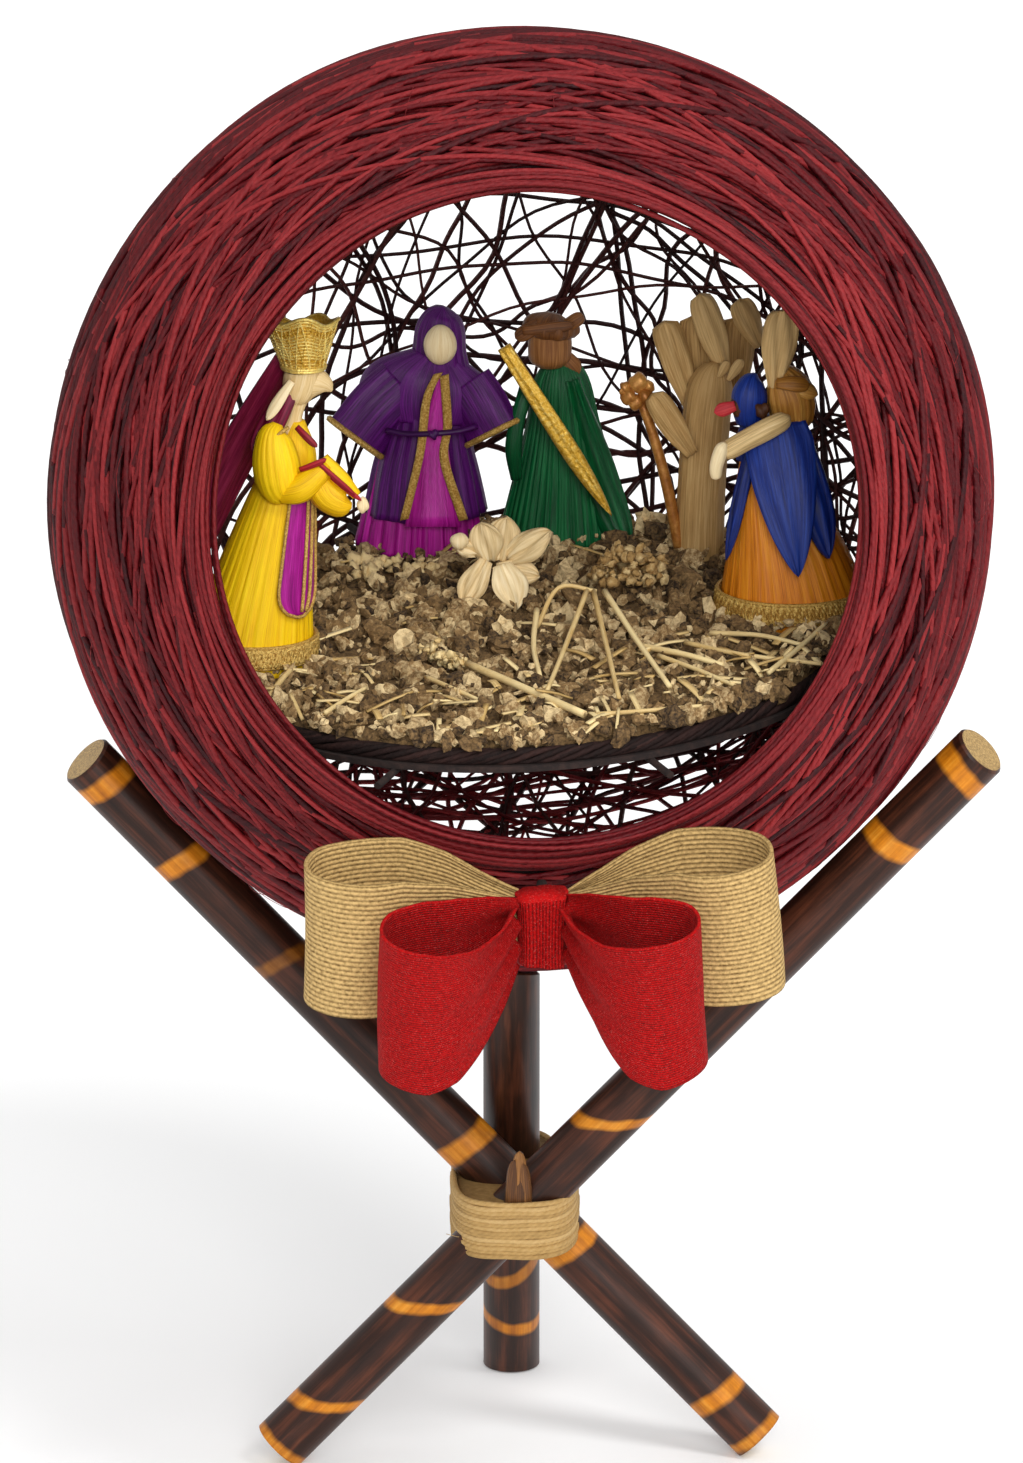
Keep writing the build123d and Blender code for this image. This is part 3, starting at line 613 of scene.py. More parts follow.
def stray_fibres():
    """Fine ends that stand off the band."""
    piece = Piece("stray_fibres")
    for i in range(FIBRE_COUNT):
        spot = unit(AXIS * rng.uniform(-0.3, 0.65) + 0.95 * unit(rng.normal() * SIDE + rng.normal() * UP))
        along = unit(np.cross(spot, rng.normal(size=3)))
        bow = np.linspace(-1, 1, 9)[:, None]
        out = 149.8 + 1.6 * (1 - bow ** 2) * rng.uniform(0.2, 1)
        path = GLOBE + spot * out + along * bow * rng.uniform(4, 11)
        tube(piece, path, 0.12, 3, spot, rng.uniform(0.7, 1.0))
    piece.make(BURGUNDY, "burgundy_thread")


# ---- floor ------------------------------------------------------------------------------------
FLOOR_X = unit((1, 0, math.sin(BED_RIGHT_UP)))
FLOOR_N = unit((-math.sin(BED_RIGHT_UP), -math.sin(BED_BACK_UP), 1))
FLOOR_Y = np.cross(FLOOR_N, FLOOR_X)
FLOOR_O = at(0, BED_Y, BED_TOP)


def floor_point(x, y, up=0.0):
    """x and y from the floor's centre, up from the top of the ground cover."""
    return FLOOR_O + FLOOR_X * x + FLOOR_Y * y + FLOOR_N * up


TWINE_STRANDS, TWINE_TURNS, TWINE_REACH, BED_REACH = 9, 17, 103.6, 100.5


def edge_twine():
    """Strands laid round the floor's edge."""
    piece = Piece("edge_twine")
    t = np.linspace(0, 2 * np.pi, 260)
    for strand in range(TWINE_STRANDS):
        swing = strand * 2 * np.pi / TWINE_STRANDS + TWINE_TURNS * t + 0.5 * np.sin(5 * t + strand)
        r = TWINE_REACH + 1.7 * np.cos(swing)
        h = -4.8 + 1.9 * np.sin(swing)
        flat = np.cos(t)[:, None] * FLOOR_X + np.sin(t)[:, None] * FLOOR_Y
        path = FLOOR_O + r[:, None] * flat + h[:, None] * FLOOR_N
        tube(piece, path, 1.0, 6, FLOOR_N, rng.uniform(0.1, 0.6), True)
    piece.make(TWINE, "dark_twine", "floor_edge_cord")


def icosphere(subdivisions):
    """Points and triangles of a ball of radius 1."""
    bpy.ops.mesh.primitive_ico_sphere_add(subdivisions=subdivisions, radius=1)
    ico = bpy.context.object
    points = np.array([v.co for v in ico.data.vertices])
    faces = np.array([p.vertices for p in ico.data.polygons])
    bpy.data.objects.remove(ico)
    return points, faces


ROUND_CRUMB, CHIP = icosphere(2), icosphere(1)


def random_turn():
    """A random rotation or mirror."""
    return np.linalg.qr(rng.normal(size=(3, 3)))[0]


def crumb(piece, centre, size, tone, fine=True):
    """A lump of random shape; fine gives it more faces."""
    points, faces = ROUND_CRUMB if fine else CHIP
    shape = points * (1 + rng.normal(size=(len(points), 1)) * (0.24 if fine else 0.3))
    shape = (shape * rng.uniform(0.4, 1.3, 3)) @ random_turn()
    piece.lump(centre + shape * size, faces, tone)


def ground_base():
    """The uneven bed under the crumbs."""
    piece = Piece("ground_base")
    r = np.linspace(0.5, BED_REACH, 60)
    t = np.arange(200) * 2 * np.pi / 200
    hills = rng.normal(size=(60, 200)) * 0.35
    hills += np.sin(r[:, None] * 0.13 + 3 * t) * 0.6
    flat = np.cos(t)[None, :, None] * FLOOR_X + np.sin(t)[None, :, None] * FLOOR_Y
    rows = FLOOR_O + r[:, None, None] * flat + (hills - 1.2)[..., None] * FLOOR_N
    rows[-1] -= FLOOR_N * 4.0
    piece.grid(rows, 0.2, caps=False)
    piece.make(CRUMB, "bark_crumbs", "ground_bed")


# Name, count, and the ranges of size and of height over the ground cover.
CRUMBS = (
    ("crumbs_large", 1000, (1.8, 4.0), (-0.6, 1.8)),
    ("crumbs_small", 2100, (0.8, 2.0), (-0.4, 3.0)),
)


def crumbs():
    """Bark crumbs over the bed; every sixth one lies near its edge."""
    for name, count, sizes, rises in CRUMBS:
        piece = Piece(name)
        fine = name == "crumbs_large"
        for i in range(count):
            reach, angle = 101 * math.sqrt(rng.uniform(0, 1)), rng.uniform(0, 6.283)
            if i % 6 == 0:
                reach = rng.uniform(98, 105)
            size, up = rng.uniform(*sizes), rng.uniform(*rises)
            crumb(piece, floor_point(reach * math.cos(angle), reach * math.sin(angle), up), size,
                  rng.beta(0.9, 1.2), fine)
        piece.make(CRUMB, "bark_crumbs", smooth=False)


def straw_bits():
    """Short bits of straw, most of them towards the front."""
    piece = Piece("straw_bits")
    for i in range(115):
        angle = rng.uniform(3.5, 5.95) if i % 3 else rng.uniform(0, 6.283)
        reach = 99 * math.sqrt(rng.uniform(0.25, 1.06)) if i % 3 else 98 * math.sqrt(rng.uniform(0, 1))
        start = floor_point(reach * math.cos(angle), reach * math.sin(angle), rng.uniform(1.6, 3.6))
        heading = rng.uniform(0, 6.283)
        half = rng.uniform(2.5, 9.0)
        lift = rng.normal() * 1.6
        span = FLOOR_X * math.cos(heading) * half + FLOOR_Y * math.sin(heading) * half + FLOOR_N * lift
        path = spread([start - span, start + FLOOR_N * rng.uniform(0, 0.8), start + span], 6)
        strip(piece, path, rng.uniform(0.8, 2.3), np.cross(unit(span), FLOOR_N), 0.5, rng.uniform(0.3, 1.0))
    piece.make(STRAW, "straw")


STRAWS = (  # x, y and height over the ground cover
    ((21, -14, 13.5), (14, -48, 7), (8, -80, 3.6)),
    ((23, -14, 13.0), (27, -50, 8), (31, -88, 3.4)),
    ((26.5, -13, 12.5), (37, -46, 7), (47, -79, 3.4)),
    ((5, -18, 3), (12, -15, 15), (24, -14, 13)),
    ((5, -18, 9), (4, -40, 5), (6, -62, 2.6)),
    ((43.5, -50, 3.5), (56, -64, 3.2), (68, -80, 3.0)),
    ((52, -38, 3.2), (70, -52, 3.4), (95, -62, 2.8)),
    ((24, -100, 2.8), (41, -99, 3.0), (58, -96, 2.8)),
    ((-80, -72, 2.6), (-76, -58, 3.2), (-72, -46, 3.4)),
    ((78, -68, 2.6), (88, -50, 4.2), (97, -30, 5.0)),
    ((-62, -88, 2.6), (-55, -78, 3.6), (-49, -68, 3.4)),
    ((38, -40, 3.4), (52, -52, 4.2), (64, -60, 3.0)),
    ((-30, -60, 3.2), (-22, -72, 3.6), (-12, -84, 2.8)),
    ((60, -30, 3.2), (76, -36, 3.8), (90, -46, 3.4)),
)


def straws():
    """Long straws laid over the ground cover."""
    piece = Piece("straws")
    for route in STRAWS:
        path = spread([on_bed(*place) for place in route], 14)
        taper = np.linspace(1.0, 0.8, 14) * rng.uniform(0.8, 1.15)
        tube(piece, path, taper, 7, (0, 0, 1), rng.uniform(0.55, 0.95))
    piece.make(STRAW, "straw", "straw_stems")


def seed_head_stem():
    """A straw that ends in a head of seeds."""
    piece = Piece("seed_head_stem")
    tube(piece, spread([on_bed(-17, -52, 4.2), on_bed(2, -76, 3.4), on_bed(20, -99, 2.6)], 12), 1.3, 8,
         (0, 0, 1), 0.8)
    for k in range(60):
        share = rng.uniform(0, 1)
        middle = on_bed(-31 + 14 * share, -34 - 17 * share, 3.6)
        crumb(piece, middle + rng.normal(size=3) * 1.4 * (1.2 - 0.6 * share), rng.uniform(0.9, 1.7),
              rng.uniform(0.5, 1))
    piece.make(STRAW, "straw", "seed_stem")


def round_seeds():
    """The round bunch of seeds behind the straws."""
    piece = Piece("round_seeds")
    for k in range(95):
        d = unit(rng.normal(size=3))
        d[2] = abs(d[2])
        centre = on_bed(34.5, 14, 6.5) + d * rng.uniform(7, 12.5) * np.array((1.05, 0.8, 0.95))
        crumb(piece, centre, rng.uniform(1.2, 2.1), rng.uniform(0.2, 0.85))
    piece.make(SEED, "seed", "seed_cluster")


def loose_seeds():
    """A patch of large seeds at the back left."""
    piece = Piece("loose_seeds")
    for k in range(34):
        x, y = rng.uniform(-53, -28), rng.uniform(40, 54)
        crumb(piece, on_bed(x, y, rng.uniform(1.4, 3.4)), rng.uniform(1.4, 2.6), rng.uniform(0.75, 1.2))
    piece.make(SEED, "seed", "cream_seeds")


# ---- figures ------------------------------------------------------------------------------------
class Skirt:
    """A skirt: its middle line and its half widths, from the ground cover up."""

    def __init__(self, *stations):
        self.rows = np.array(stations, float)

    def shape(self, share):
        line = spread(self.rows, 60)
        where = np.linspace(0, 1, 60)
        return [np.interp(share, where, line[:, k]) for k in range(5)]

    def on(self, share, angle, out=0.0):
        """A point on the surface; share and angle may be arrays."""
        x, y, z, wide, deep = self.shape(np.asarray(share, float))
        c, s = np.cos(angle), np.sin(angle)
        return GLOBE + np.stack([x + (wide + out) * c, y + (deep + out) * s, z + 0 * c], -1)

    def make(self, piece, pleats, depth, tone=0.5, rough=0.0):
        body(piece, self.rows, 180, pleats, depth, tone, rough=rough, stations=30, fade=0.55)


def braid(piece, skirt, low, high, strands=12, waves=58, thick=0.6):
    """Plaited braid round a skirt between two shares of its height."""
    angle = np.linspace(0, 2 * np.pi, 560)
    middle, half = (low + high) / 2, (high - low) / 2
    for k in range(strands):
        phase = waves * angle + k * 2 * np.pi / strands
        share = middle + half * 0.86 * np.sin(phase)
        tube(piece, skirt.on(share, angle, 0.9 + 0.45 * np.cos(phase * 2 + k)), thick, 5, (0, 0, 1),
             rng.uniform(0.2, 0.9), True)
    for share in (low, high):
        tube(piece, skirt.on(np.full(560, share), angle, 0.9), 0.65, 5, (0, 0, 1), 0.6, True)


def line(piece, points, radius, tone=0.5, sides=7, count=24):
    """A cord through a few points."""
    tube(piece, spread([at(*p) for p in points], count), radius, sides, (0.1, 0.3, 1), tone)


def yellow_skirt():
    """Skirt with its hem braid and its trimmed front panel."""
    yellow = Skirt((-86, -27, -46, 20.5, 18.5), (-82.5, -27, -24, 16.5, 15), (-78, -27, 0, 11.6, 11),
                   (-75, -27, 15, 8.2, 8))
    piece = Piece("yellow_skirt_husk")
    yellow.make(piece, 30, 0.012, 0.55, 0.006)
    piece.make(YELLOW, "yellow_husk", "yellow_skirt")

    piece = Piece("yellow_hem")
    braid(piece, yellow, 0.05, 0.155)
    piece.make(GOLD, "gold_braid", "yellow_hem_braid")

    piece = Piece("yellow_panel_husk")
    share = np.linspace(0.92, 0.30, 26)
    full = np.clip(1 - ((0.48 - share) / 0.18).clip(0, 1) ** 2.6, 0.02, 1) ** 0.5
    half = np.radians(np.linspace(36, 29, 26)) * full
    middle = np.radians(np.linspace(-38, -44, 26))
    across = np.linspace(-1, 1, 15)
    place = share[:, None] + 0 * across, middle[:, None] + half[:, None] * across
    rows, inner = yellow.on(*place, 1.0), yellow.on(*place, 0.1)
    piece.grid(np.concatenate([rows, inner[:, ::-1]], 1), 0.5, u=np.linspace(0, 40, 26),
               v=np.linspace(0, 32, 31))
    piece.make(MAGENTA, "magenta_husk", "yellow_panel")
    piece = Piece("yellow_panel_trims")
    edge = np.concatenate([yellow.on(share, middle - half, 1.3),
                           yellow.on(share[::-1], (middle + half)[::-1], 1.3)])
    tube(piece, edge, 0.6, 6, (0, -1, 0.1), 0.6)
    for offset in (0.05, 0.42):
        cord = yellow.on(share[:-1], middle[:-1] + half[:-1] * offset, 1.5)
        tube(piece, cord, 0.65, 6, (0, -1, 0.1), 0.65)
    line(piece, ((-83.5, -36, 24.5), (-79, -39, 31), (-73.5, -36.5, 34.5)), 0.6, 0.6)
    piece.make(GOLD, "gold_braid")


def yellow_arms():
    """Bodice, sleeves and the gift in the hands."""
    piece = Piece("yellow_bodice")
    body(piece, ((-73, -27, 12, 8, 7.5), (-71.5, -27, 24, 6.6, 6.5), (-71, -27, 34, 2.6, 2.6)), 48, 12, 0.02)
    body(piece, ((-77, -34, 35, 1.5, 1.5), (-78.3, -35, 31, 5.2, 5), (-77.5, -36, 22, 7.4, 6.4),
                 (-76, -36, 14, 6.2, 5.6), (-73, -36, 11, 1.6, 1.6)), 64, 20, 0.035, 0.6, fade=0.2)
    body(piece, ((-76, -37, 13, 3.6, 3.6), (-70, -39, 15, 4.6, 4), (-64, -39, 20, 3.6, 3.4),
                 (-61, -39, 23, 1.4, 1.4)), 40, 12, 0.03, 0.45, ref=(0, 0, 1))
    body(piece, ((-66, -37, 19, 3.4, 3.2), (-62, -37, 13, 5.2, 4), (-57, -38, 9.5, 4.4, 3),
                 (-53.5, -38, 9, 1.0, 1.0)), 40, 14, 0.05, 0.42, ref=(0, 0, 1))
    body(piece, ((-63, -37, 24, 2.4, 2.2), (-57, -38, 18, 2.6, 2.4), (-52, -38, 12.5, 1.6, 1.6)), 30, 8,
         0.05, 0.6, ref=(0, 0, 1))
    piece.make(YELLOW, "yellow_husk", "yellow_sleeves")

    piece = Piece("yellow_gift_husk")
    petal(piece, (-70, -40, 21.5), (-61.5, -41.5, 25.5), 1.8, bend=0.8, tone=0.4, root=0.8)
    petal(piece, (-64, -41, 24), (-52.5, -41.2, 13.5), 1.6, bend=0.6, tone=0.3, root=0.8)
    petal(piece, (-60, -40, 19), (-50.5, -40.4, 11.5), 1.5, bend=0.6, tone=0.5, root=0.8)
    petal(piece, (-71, -36, 34.5), (-64.5, -38.5, 28.5), 2.2, bend=0.8, tone=0.2, root=0.8)
    piece.make(SCARLET, "red_husk", "yellow_gift")


def yellow_head():
    """Neck, head, one lock and one hand, with the dark edge of the crown."""
    piece = Piece("yellow_face")
    body(piece, ((-73, -27, 30, 3.4, 3.2), (-71.5, -27, 36, 2.4, 2.4), (-70.5, -27, 41, 3.2, 3)), 24, 6, 0.05)
    body(piece, ((-72, -27, 38.5, 1.6, 1.6), (-71, -27, 42, 4.6, 4.4), (-69.5, -27, 47, 5.9, 5.2),
                 (-68.5, -27, 52.5, 5.6, 5)), 32, 6, 0.012)
    body(piece, ((-70, -27, 46.5, 6.0, 4.4), (-65, -27.2, 46.6, 4.9, 3.6), (-61.8, -27.4, 45.6, 3.0, 2.2),
                 (-59.8, -27.5, 43.8, 0.5, 0.5)), 28, 5, 0.02, ref=(0, 0, 1))
    petal(piece, (-72.5, -32.5, 48.5), (-80.5, -34, 36), 3.6, (-0.3, -1, 0.2), 1.0, tone=0.8, blunt=0.5,
          root=0.6)
    ball(piece, (-50, -38.4, 9.4), (1.9, 1.6, 2.6), tone=0.7, dent=0.1)
    piece.make(PALE, "pale_husk", "yellow_head")
    piece = Piece("yellow_brow")
    t = np.linspace(0, 2 * np.pi, 40)
    tube(piece, at(-68.4, -27, 51.6) + np.stack([6.0 * np.cos(t), 5.4 * np.sin(t), 0.5 * np.cos(t)], -1),
         0.95, 6, (0, 0, 1), 0.1, True)
    piece.make(TWINE, "dark_twine")


CROWN_REACH, CROWN_HIGH = (6.4, 11.4), 15.6


def yellow_crown():
    """A flared crown of gold mesh."""
    piece = Piece("yellow_crown_mesh")
    t = np.arange(72) * 2 * np.pi / 72
    rise = np.linspace(0, 1, 14)[:, None]

    def crown(turn, share, out=0.0):
        r = np.interp(share, rise[:, 0], np.linspace(*CROWN_REACH, 14)) + out
        top = CROWN_HIGH - 2.2 * np.sin(turn) + 1.0 * np.cos(5 * turn + 0.8) + 0.6 * np.sin(3 * turn)
        r = r + 0.8 * np.cos(5 * turn + 0.8) * share
        return at(-68.8, -27, 51.5) + np.stack([r * np.cos(turn) - 1.2 * share, 0.9 * r * np.sin(turn),
                                                top * share], -1)

    outer = crown(t[None] + 0 * rise, rise + 0 * t[None], 0.0)
    inner = crown(t[None] + 0 * rise, rise + 0 * t[None], -0.5)
    piece.grid(np.concatenate([outer, inner[::-1]]), 0.55, caps=False)
    circle = np.linspace(0, 2 * np.pi, 90)
    for k in range(17):
        tube(piece, crown(circle, np.full(90, 0.03 + k * 0.06), 0.25), 0.32, 5, (0, 0, 1),
             rng.uniform(0.4, 1), True)
    share = np.linspace(0, 1, 14)
    for k in range(46):
        turn = k * 2 * np.pi / 46 + 0.35 * share * (-1) ** k
        tube(piece, crown(turn, share, 0.3), 0.28, 5, (0.2, 0.9, 0.1), rng.uniform(0.4, 1))
    for height in (0.0, 0.04, 0.99):
        tube(piece, crown(circle, np.full(90, height), 0.35), 0.62, 6, (0, 0, 1), 0.8, True)
    piece.make(GOLD_MESH, "gold_mesh", "yellow_crown")


def yellow_veil():
    """A long veil and a short one, from the crown down the left side."""
    piece = Piece("yellow_veil_husk")
    petal(piece, (-73, -24, 53), (-109, -13, -24), 13.5, (0.5, -1, 0.5), -4.0, 0.1, 0.8, 0.5, 0.75, 2.0,
          0.55, 0.55, stations=30, across=17)
    petal(piece, (-72, -29, 47), (-84, -33, 24), 8.0, (-0.4, -1, 0.3), 1.0, 0.1, 0.7, 0.35, 0.7, 2.0, 0.5,
          stations=20)
    piece.make(CRIMSON, "crimson_husk", "yellow_veil")


def purple_clothes():
    """Skirt, coat, and sleeves with their gold trims."""
    purple = Skirt((-32.5, 76, -39, 19.5, 15.5), (-32, 76, -26, 17.5, 13.5), (-31.5, 76, -8, 14, 10))
    piece = Piece("purple_skirt_husk")
    purple.make(piece, 24, 0.045, 0.5, 0.008)
    front = np.array([(-25.8, 64.6, 20), (-27.4, 63.6, 6), (-28.0, 61.4, -10), (-28, 58.7, -27.5)])
    strip(piece, spread([at(*p) for p in front], 14), np.linspace(1.5, 18, 14), (1, 0, 0), 0.8, 0.6)
    piece.make(MAGENTA, "magenta_husk", "purple_skirt")
    piece = Piece("purple_coat_husk")
    body(piece, ((-30.5, 76, -27, 19.4, 16.2), (-30.5, 76, -12, 16.4, 13.4), (-29.5, 76, 2, 12.8, 10.4),
                 (-28.5, 76, 12, 13, 9), (-27.5, 76, 22, 7, 6)), 120, 13, 0.03, 0.5, fade=0.3)
    body(piece, ((-29.5, 76, 4, 19, 9.4), (-29, 76, 11, 22.5, 9.8), (-28.3, 76, 18, 20.0, 8.8),
                 (-27, 76, 25, 8, 5)), 90, 7, 0.02, 0.55, fade=0.2)
    piece.make(PURPLE, "purple_husk", "purple_coat")
    cuffs = []
    piece = Piece("purple_sleeve_husk")
    cuffs.append(body(piece, ((-38, 74, 15, 10, 6), (-46, 71.5, 8, 10.4, 6.4), (-53.6, 69, -1.6, 10.6, 5.2)),
                      56, 7, 0.03, 0.5, ref=(0, 0, 1), fade=0.2))
    cuffs.append(body(piece, ((-18, 74, 15, 10, 6), (-13, 71.5, 8, 10.2, 6.4), (-8.8, 69, 0, 10.4, 5.2)),
                      56, 7, 0.03, 0.5, ref=(0, 0, 1), fade=0.2))
    piece.make(PURPLE, "purple_husk", "purple_sleeves")
    piece = Piece("purple_trims")
    for rows in cuffs:
        ring_path = np.vstack([rows[-2], rows[-2][:1]])
        middle = ring_path[:-1].mean(0)
        tube(piece, middle + (ring_path - middle) * 1.04, 1.05, 6, (0.2, 0.1, 1), 0.6, True)
    for points in (((-26.4, 64.2, 22), (-30, 63.4, 13.7), (-32.2, 61.4, -4), (-37.2, 58.4, -25)),
                   ((-24.4, 64.0, 21.4), (-23.4, 63.2, 5), (-24.4, 61.2, -6), (-18.3, 58.0, -25))):
        strip(piece, spread([at(*p) for p in points], 26), 2.9, (1, 0, 0.25), 1.2, 0.55)
    piece.make(GOLD, "gold_braid", "purple_gold_trims")


def purple_head():
    """Hood, belt and face."""
    piece = Piece("purple_hood_husk")
    body(piece, ((-26.5, 77, 17, 11.5, 7), (-26, 77.5, 25, 8.6, 7), (-25.7, 77.8, 33, 7.7, 6.4),
                 (-25.4, 77.5, 38, 5.2, 4.6), (-24.8, 77, 40.3, 0.8, 0.8)), 64, 9, 0.035, 0.5, fade=0.3)
    line(piece, ((-43, 64, 3), (-36, 62, 2.4), (-28, 60.6, 3), (-20, 61.8, 3.4), (-14, 64, 4.4)), 0.95, 0.35)
    ball(piece, (-28, 60.4, 2.8), (1.8, 1.5, 1.6), tone=0.4, dent=0.2)
    piece.make(PURPLE, "purple_husk", "purple_hood")
    piece = Piece("purple_face")
    ball(piece, (-25.7, 70.6, 29.6), (5.3, 5.0, 6.5), 32, 20, 0.75, 0.015)
    piece.make(PALE, "pale_husk", "purple_head")


def green_clothes():
    """Robe, arm and gold sash."""
    piece = Piece("green_robe_husk")
    body(piece, ((14, 79.5, -38, 21, 14.5), (14, 79.5, -20, 16.8, 12), (13.5, 79.5, 0, 11.8, 9.6),
                 (13, 79, 15, 8.9, 7.4), (12.6, 79, 22.5, 4.5, 4)), 300, 46, 0.02, 0.5, stations=30,
         fade=0.3)
    petal(piece, (17, 70, 18), (33.5, 66, -36), 12, (0.4, -1, 0), -3, 0.25, 0.8, 0.42, 0.4, 2.0, 0.9,
          stations=26, across=17)
    piece.make(GREEN, "green_husk", "green_robe")
    piece = Piece("green_arm_husk")
    body(piece, ((3, 71, 17, 3, 3), (-0.5, 67, 8, 2.3, 2.3), (-2.4, 66, -3, 2.7, 2.5),
                 (-1.5, 67, -14, 1.8, 1.6)), 40, 12, 0.04, 0.4)
    piece.make(GREEN, "green_husk", "green_arm")
    piece = Piece("green_sash_braid")
    petal(piece, (-5.4, 63.4, 31), (29, 60, -24), 5.8, (0, -1, 0), 1.5, 0.1, 1.6, 0.5, 0.75, 0.2, 0.25,
          stations=34, across=9)
    piece.make(GOLD_MESH, "gold_braid", "green_sash")


def green_head():
    """Head and turban."""
    piece = Piece("green_face")
    body(piece, ((9.2, 76, 21, 4.4, 4), (9.2, 76, 23.4, 6.6, 6), (9.3, 76, 28, 7, 6.2),
                 (9.3, 76, 33, 6.6, 6)), 40, 7, 0.012, 0.55)
    petal(piece, (13, 75, 25), (18.6, 75.5, 18.5), 6, (0.2, -1, 0), 0.5, tone=0.4, blunt=0.5, root=0.8)
    piece.make(BROWN, "brown_husk", "green_head")
    piece = Piece("green_turban_husk")
    body(piece, ((9.4, 76.4, 31.4, 7.6, 6.8), (9.6, 76.4, 33.4, 8.9, 8), (9.9, 76.6, 36, 7.9, 7),
                 (10.4, 77, 38.2, 2.5, 2.5)), 56, 7, 0.05, 0.3, fade=0.1)
    petal(piece, (13.5, 73, 34.4), (20, 72, 39), 4.5, (0.1, -1, 0.5), 0.8, tone=0.4, root=0.9)
    petal(piece, (6, 71, 36.4), (-1.8, 71, 31.6), 5, (0, -1, 0.4), 0.8, tone=0.25, root=0.9)
    petal(piece, (0.5, 70, 34.4), (17, 69.6, 36.4), 3.6, (0, -1, 0.2), 1.0, tone=0.3, root=0.8)
    piece.make(BROWN, "brown_husk", "green_turban")


def angel():
    """Robe, wings and arm."""
    piece = Piece("angel_robe_husk")
    body(piece, ((56.6, 55, -38, 8.0, 7), (57.6, 55, -14, 7.6, 6.6), (59, 55, 8, 7.6, 6.2),
                 (60.4, 55, 20, 7.2, 5.6), (61.4, 55, 26, 4.6, 3.6), (62, 55, 28.4, 1.0, 1.0)), 90, 8,
         0.018, 0.5, rough=0.006, fade=0.1)
    piece.make(BEIGE, "beige_husk", "angel_robe")
    piece = Piece("angel_wing_husk")
    petal(piece, (54.5, 58, 12), (45.8, 59, 41), 10, (0.2, -1, 0.2), 1.5, 0.16, 0.8, 0.55, 0.45, 3.0, 0.85)
    petal(piece, (58, 62, 8), (55.5, 63, 42), 12, (0, -1, 0), 0.8, 0.1, 0.8, 0.38, 0.5, 2.5, 0.75)
    petal(piece, (65, 57, 24), (57, 57.5, 50.5), 9.5, (0.1, -1, 0.3), 2.6, 0.28, 0.9, 0.7, 0.4, 1.6, 0.7)
    petal(piece, (68, 62, 14), (69.5, 63, 41), 11, (0, -1, 0), 1.0, 0.12, 0.8, 0.35, 0.5, 3.0, 0.8)
    petal(piece, (76, 60, 32), (69.5, 60, 48), 8.5, (0.1, -1, 0.3), 1.5, 0.2, 0.8, 0.62, 0.4, 1.6, 0.6)
    petal(piece, (66, 50, 24), (70.5, 49.5, 31), 3.4, bend=0.5, tone=0.7)
    petal(piece, (63, 50, 25), (66, 49.5, 30.5), 3.0, bend=0.5, tone=0.6)
    piece.make(BEIGE, "beige_husk", "angel_wings")
    piece = Piece("angel_arm_husk")
    petal(piece, (54.5, 47.5, 0), (41.8, 46.5, 20.5), 8.5, (0, -1, 0), 1.0, 0.14, 1.0, 0.5, 0.5, 2.0, 0.7)
    piece.make(BEIGE, "beige_husk", "angel_arm")


def staff():
    """A twig with a head of gilt balls."""
    piece = Piece("staff_twig")
    tube(piece, spread([at(50.6, 52, -32), at(46.6, 52.5, -12), at(42.4, 53.4, 4), at(38.6, 54, 15)], 20),
         np.linspace(2.0, 1.6, 20), 12, (1, 0, 0), 0.5)
    piece.make(GOLD_PAINT, "gold_paint", "staff")
    piece = Piece("staff_head")
    for x, z, r in ((37.4, 22, 3.0), (34.4, 17.6, 2.6), (39.6, 17.6, 2.8), (36.6, 15.6, 2.4),
                    (40.8, 20.6, 2.0), (33.2, 20.6, 1.8)):
        ball(piece, (x, 54 + rng.uniform(-1, 1), z), (r, r, r * 1.05), 16, 10, rng.uniform(0.4, 0.8), 0.12)
    petal(piece, (35, 53, 19), (31.4, 52, 19.6), 2.6, tone=0.5)
    piece.make(GOLD_PAINT, "gold_paint", "staff_ornament")


def orange_skirt():
    """Skirt and hem braid of the blue and orange figure."""
    orange = Skirt((87, 3, -39, 24.6, 21.6), (84, 3, -20, 19.4, 17.4), (79.6, 3, 0, 12.4, 11.4),
                   (76.4, 3, 16, 6.6, 6.2))
    piece = Piece("orange_skirt_husk")
    orange.make(piece, 36, 0.01, 0.5, 0.006)
    piece.make(ORANGE, "orange_husk", "orange_skirt")
    piece = Piece("orange_hem")
    braid(piece, orange, 0.045, 0.15, 12, 66)
    piece.make(GOLD, "gold_braid", "orange_hem_braid")


def blue_clothes():
    """Cape and hood."""
    piece = Piece("blue_cape_husk")
    petal(piece, (81, -5, 26), (88, -20.5, -20), 22, (0.05, -1, 0.15), 2.0, 0.1, 0.9, 0.5, 0.85, 0.25, 0.35,
          0.14, stations=34, across=21)
    petal(piece, (88.5, -2, 24), (97.6, -13.5, -16), 11, (0.6, -1, 0.1), 1.5, 0.12, 0.9, 0.42, 0.6, 0.3,
          0.5, stations=26, across=13)
    petal(piece, (74, -5, 22), (65.2, -8.5, -18), 4.6, (-0.4, -1, 0.1), 1.0, 0.16, 0.9, 0.3, 0.9, 0.3, 0.35,
          stations=26)
    body(piece, ((75.6, 3, 12, 7.4, 6.6), (76, 3, 20, 7.4, 6.6), (77, 3, 27, 5, 5)), 40, 9, 0.03, 0.4)
    piece.make(BLUE, "blue_husk", "blue_cape")
    piece = Piece("blue_hood_husk")
    body(piece, ((72.6, 1, 24.5, 4.0, 4), (72.4, 1, 28, 5.0, 5), (72.6, 1, 34, 5.6, 5.6),
                 (73.4, 1.4, 38.6, 3.6, 3.6), (74.4, 2, 40.8, 0.6, 0.6)), 40, 7, 0.03, 0.5)
    piece.make(BLUE, "blue_husk", "blue_hood")


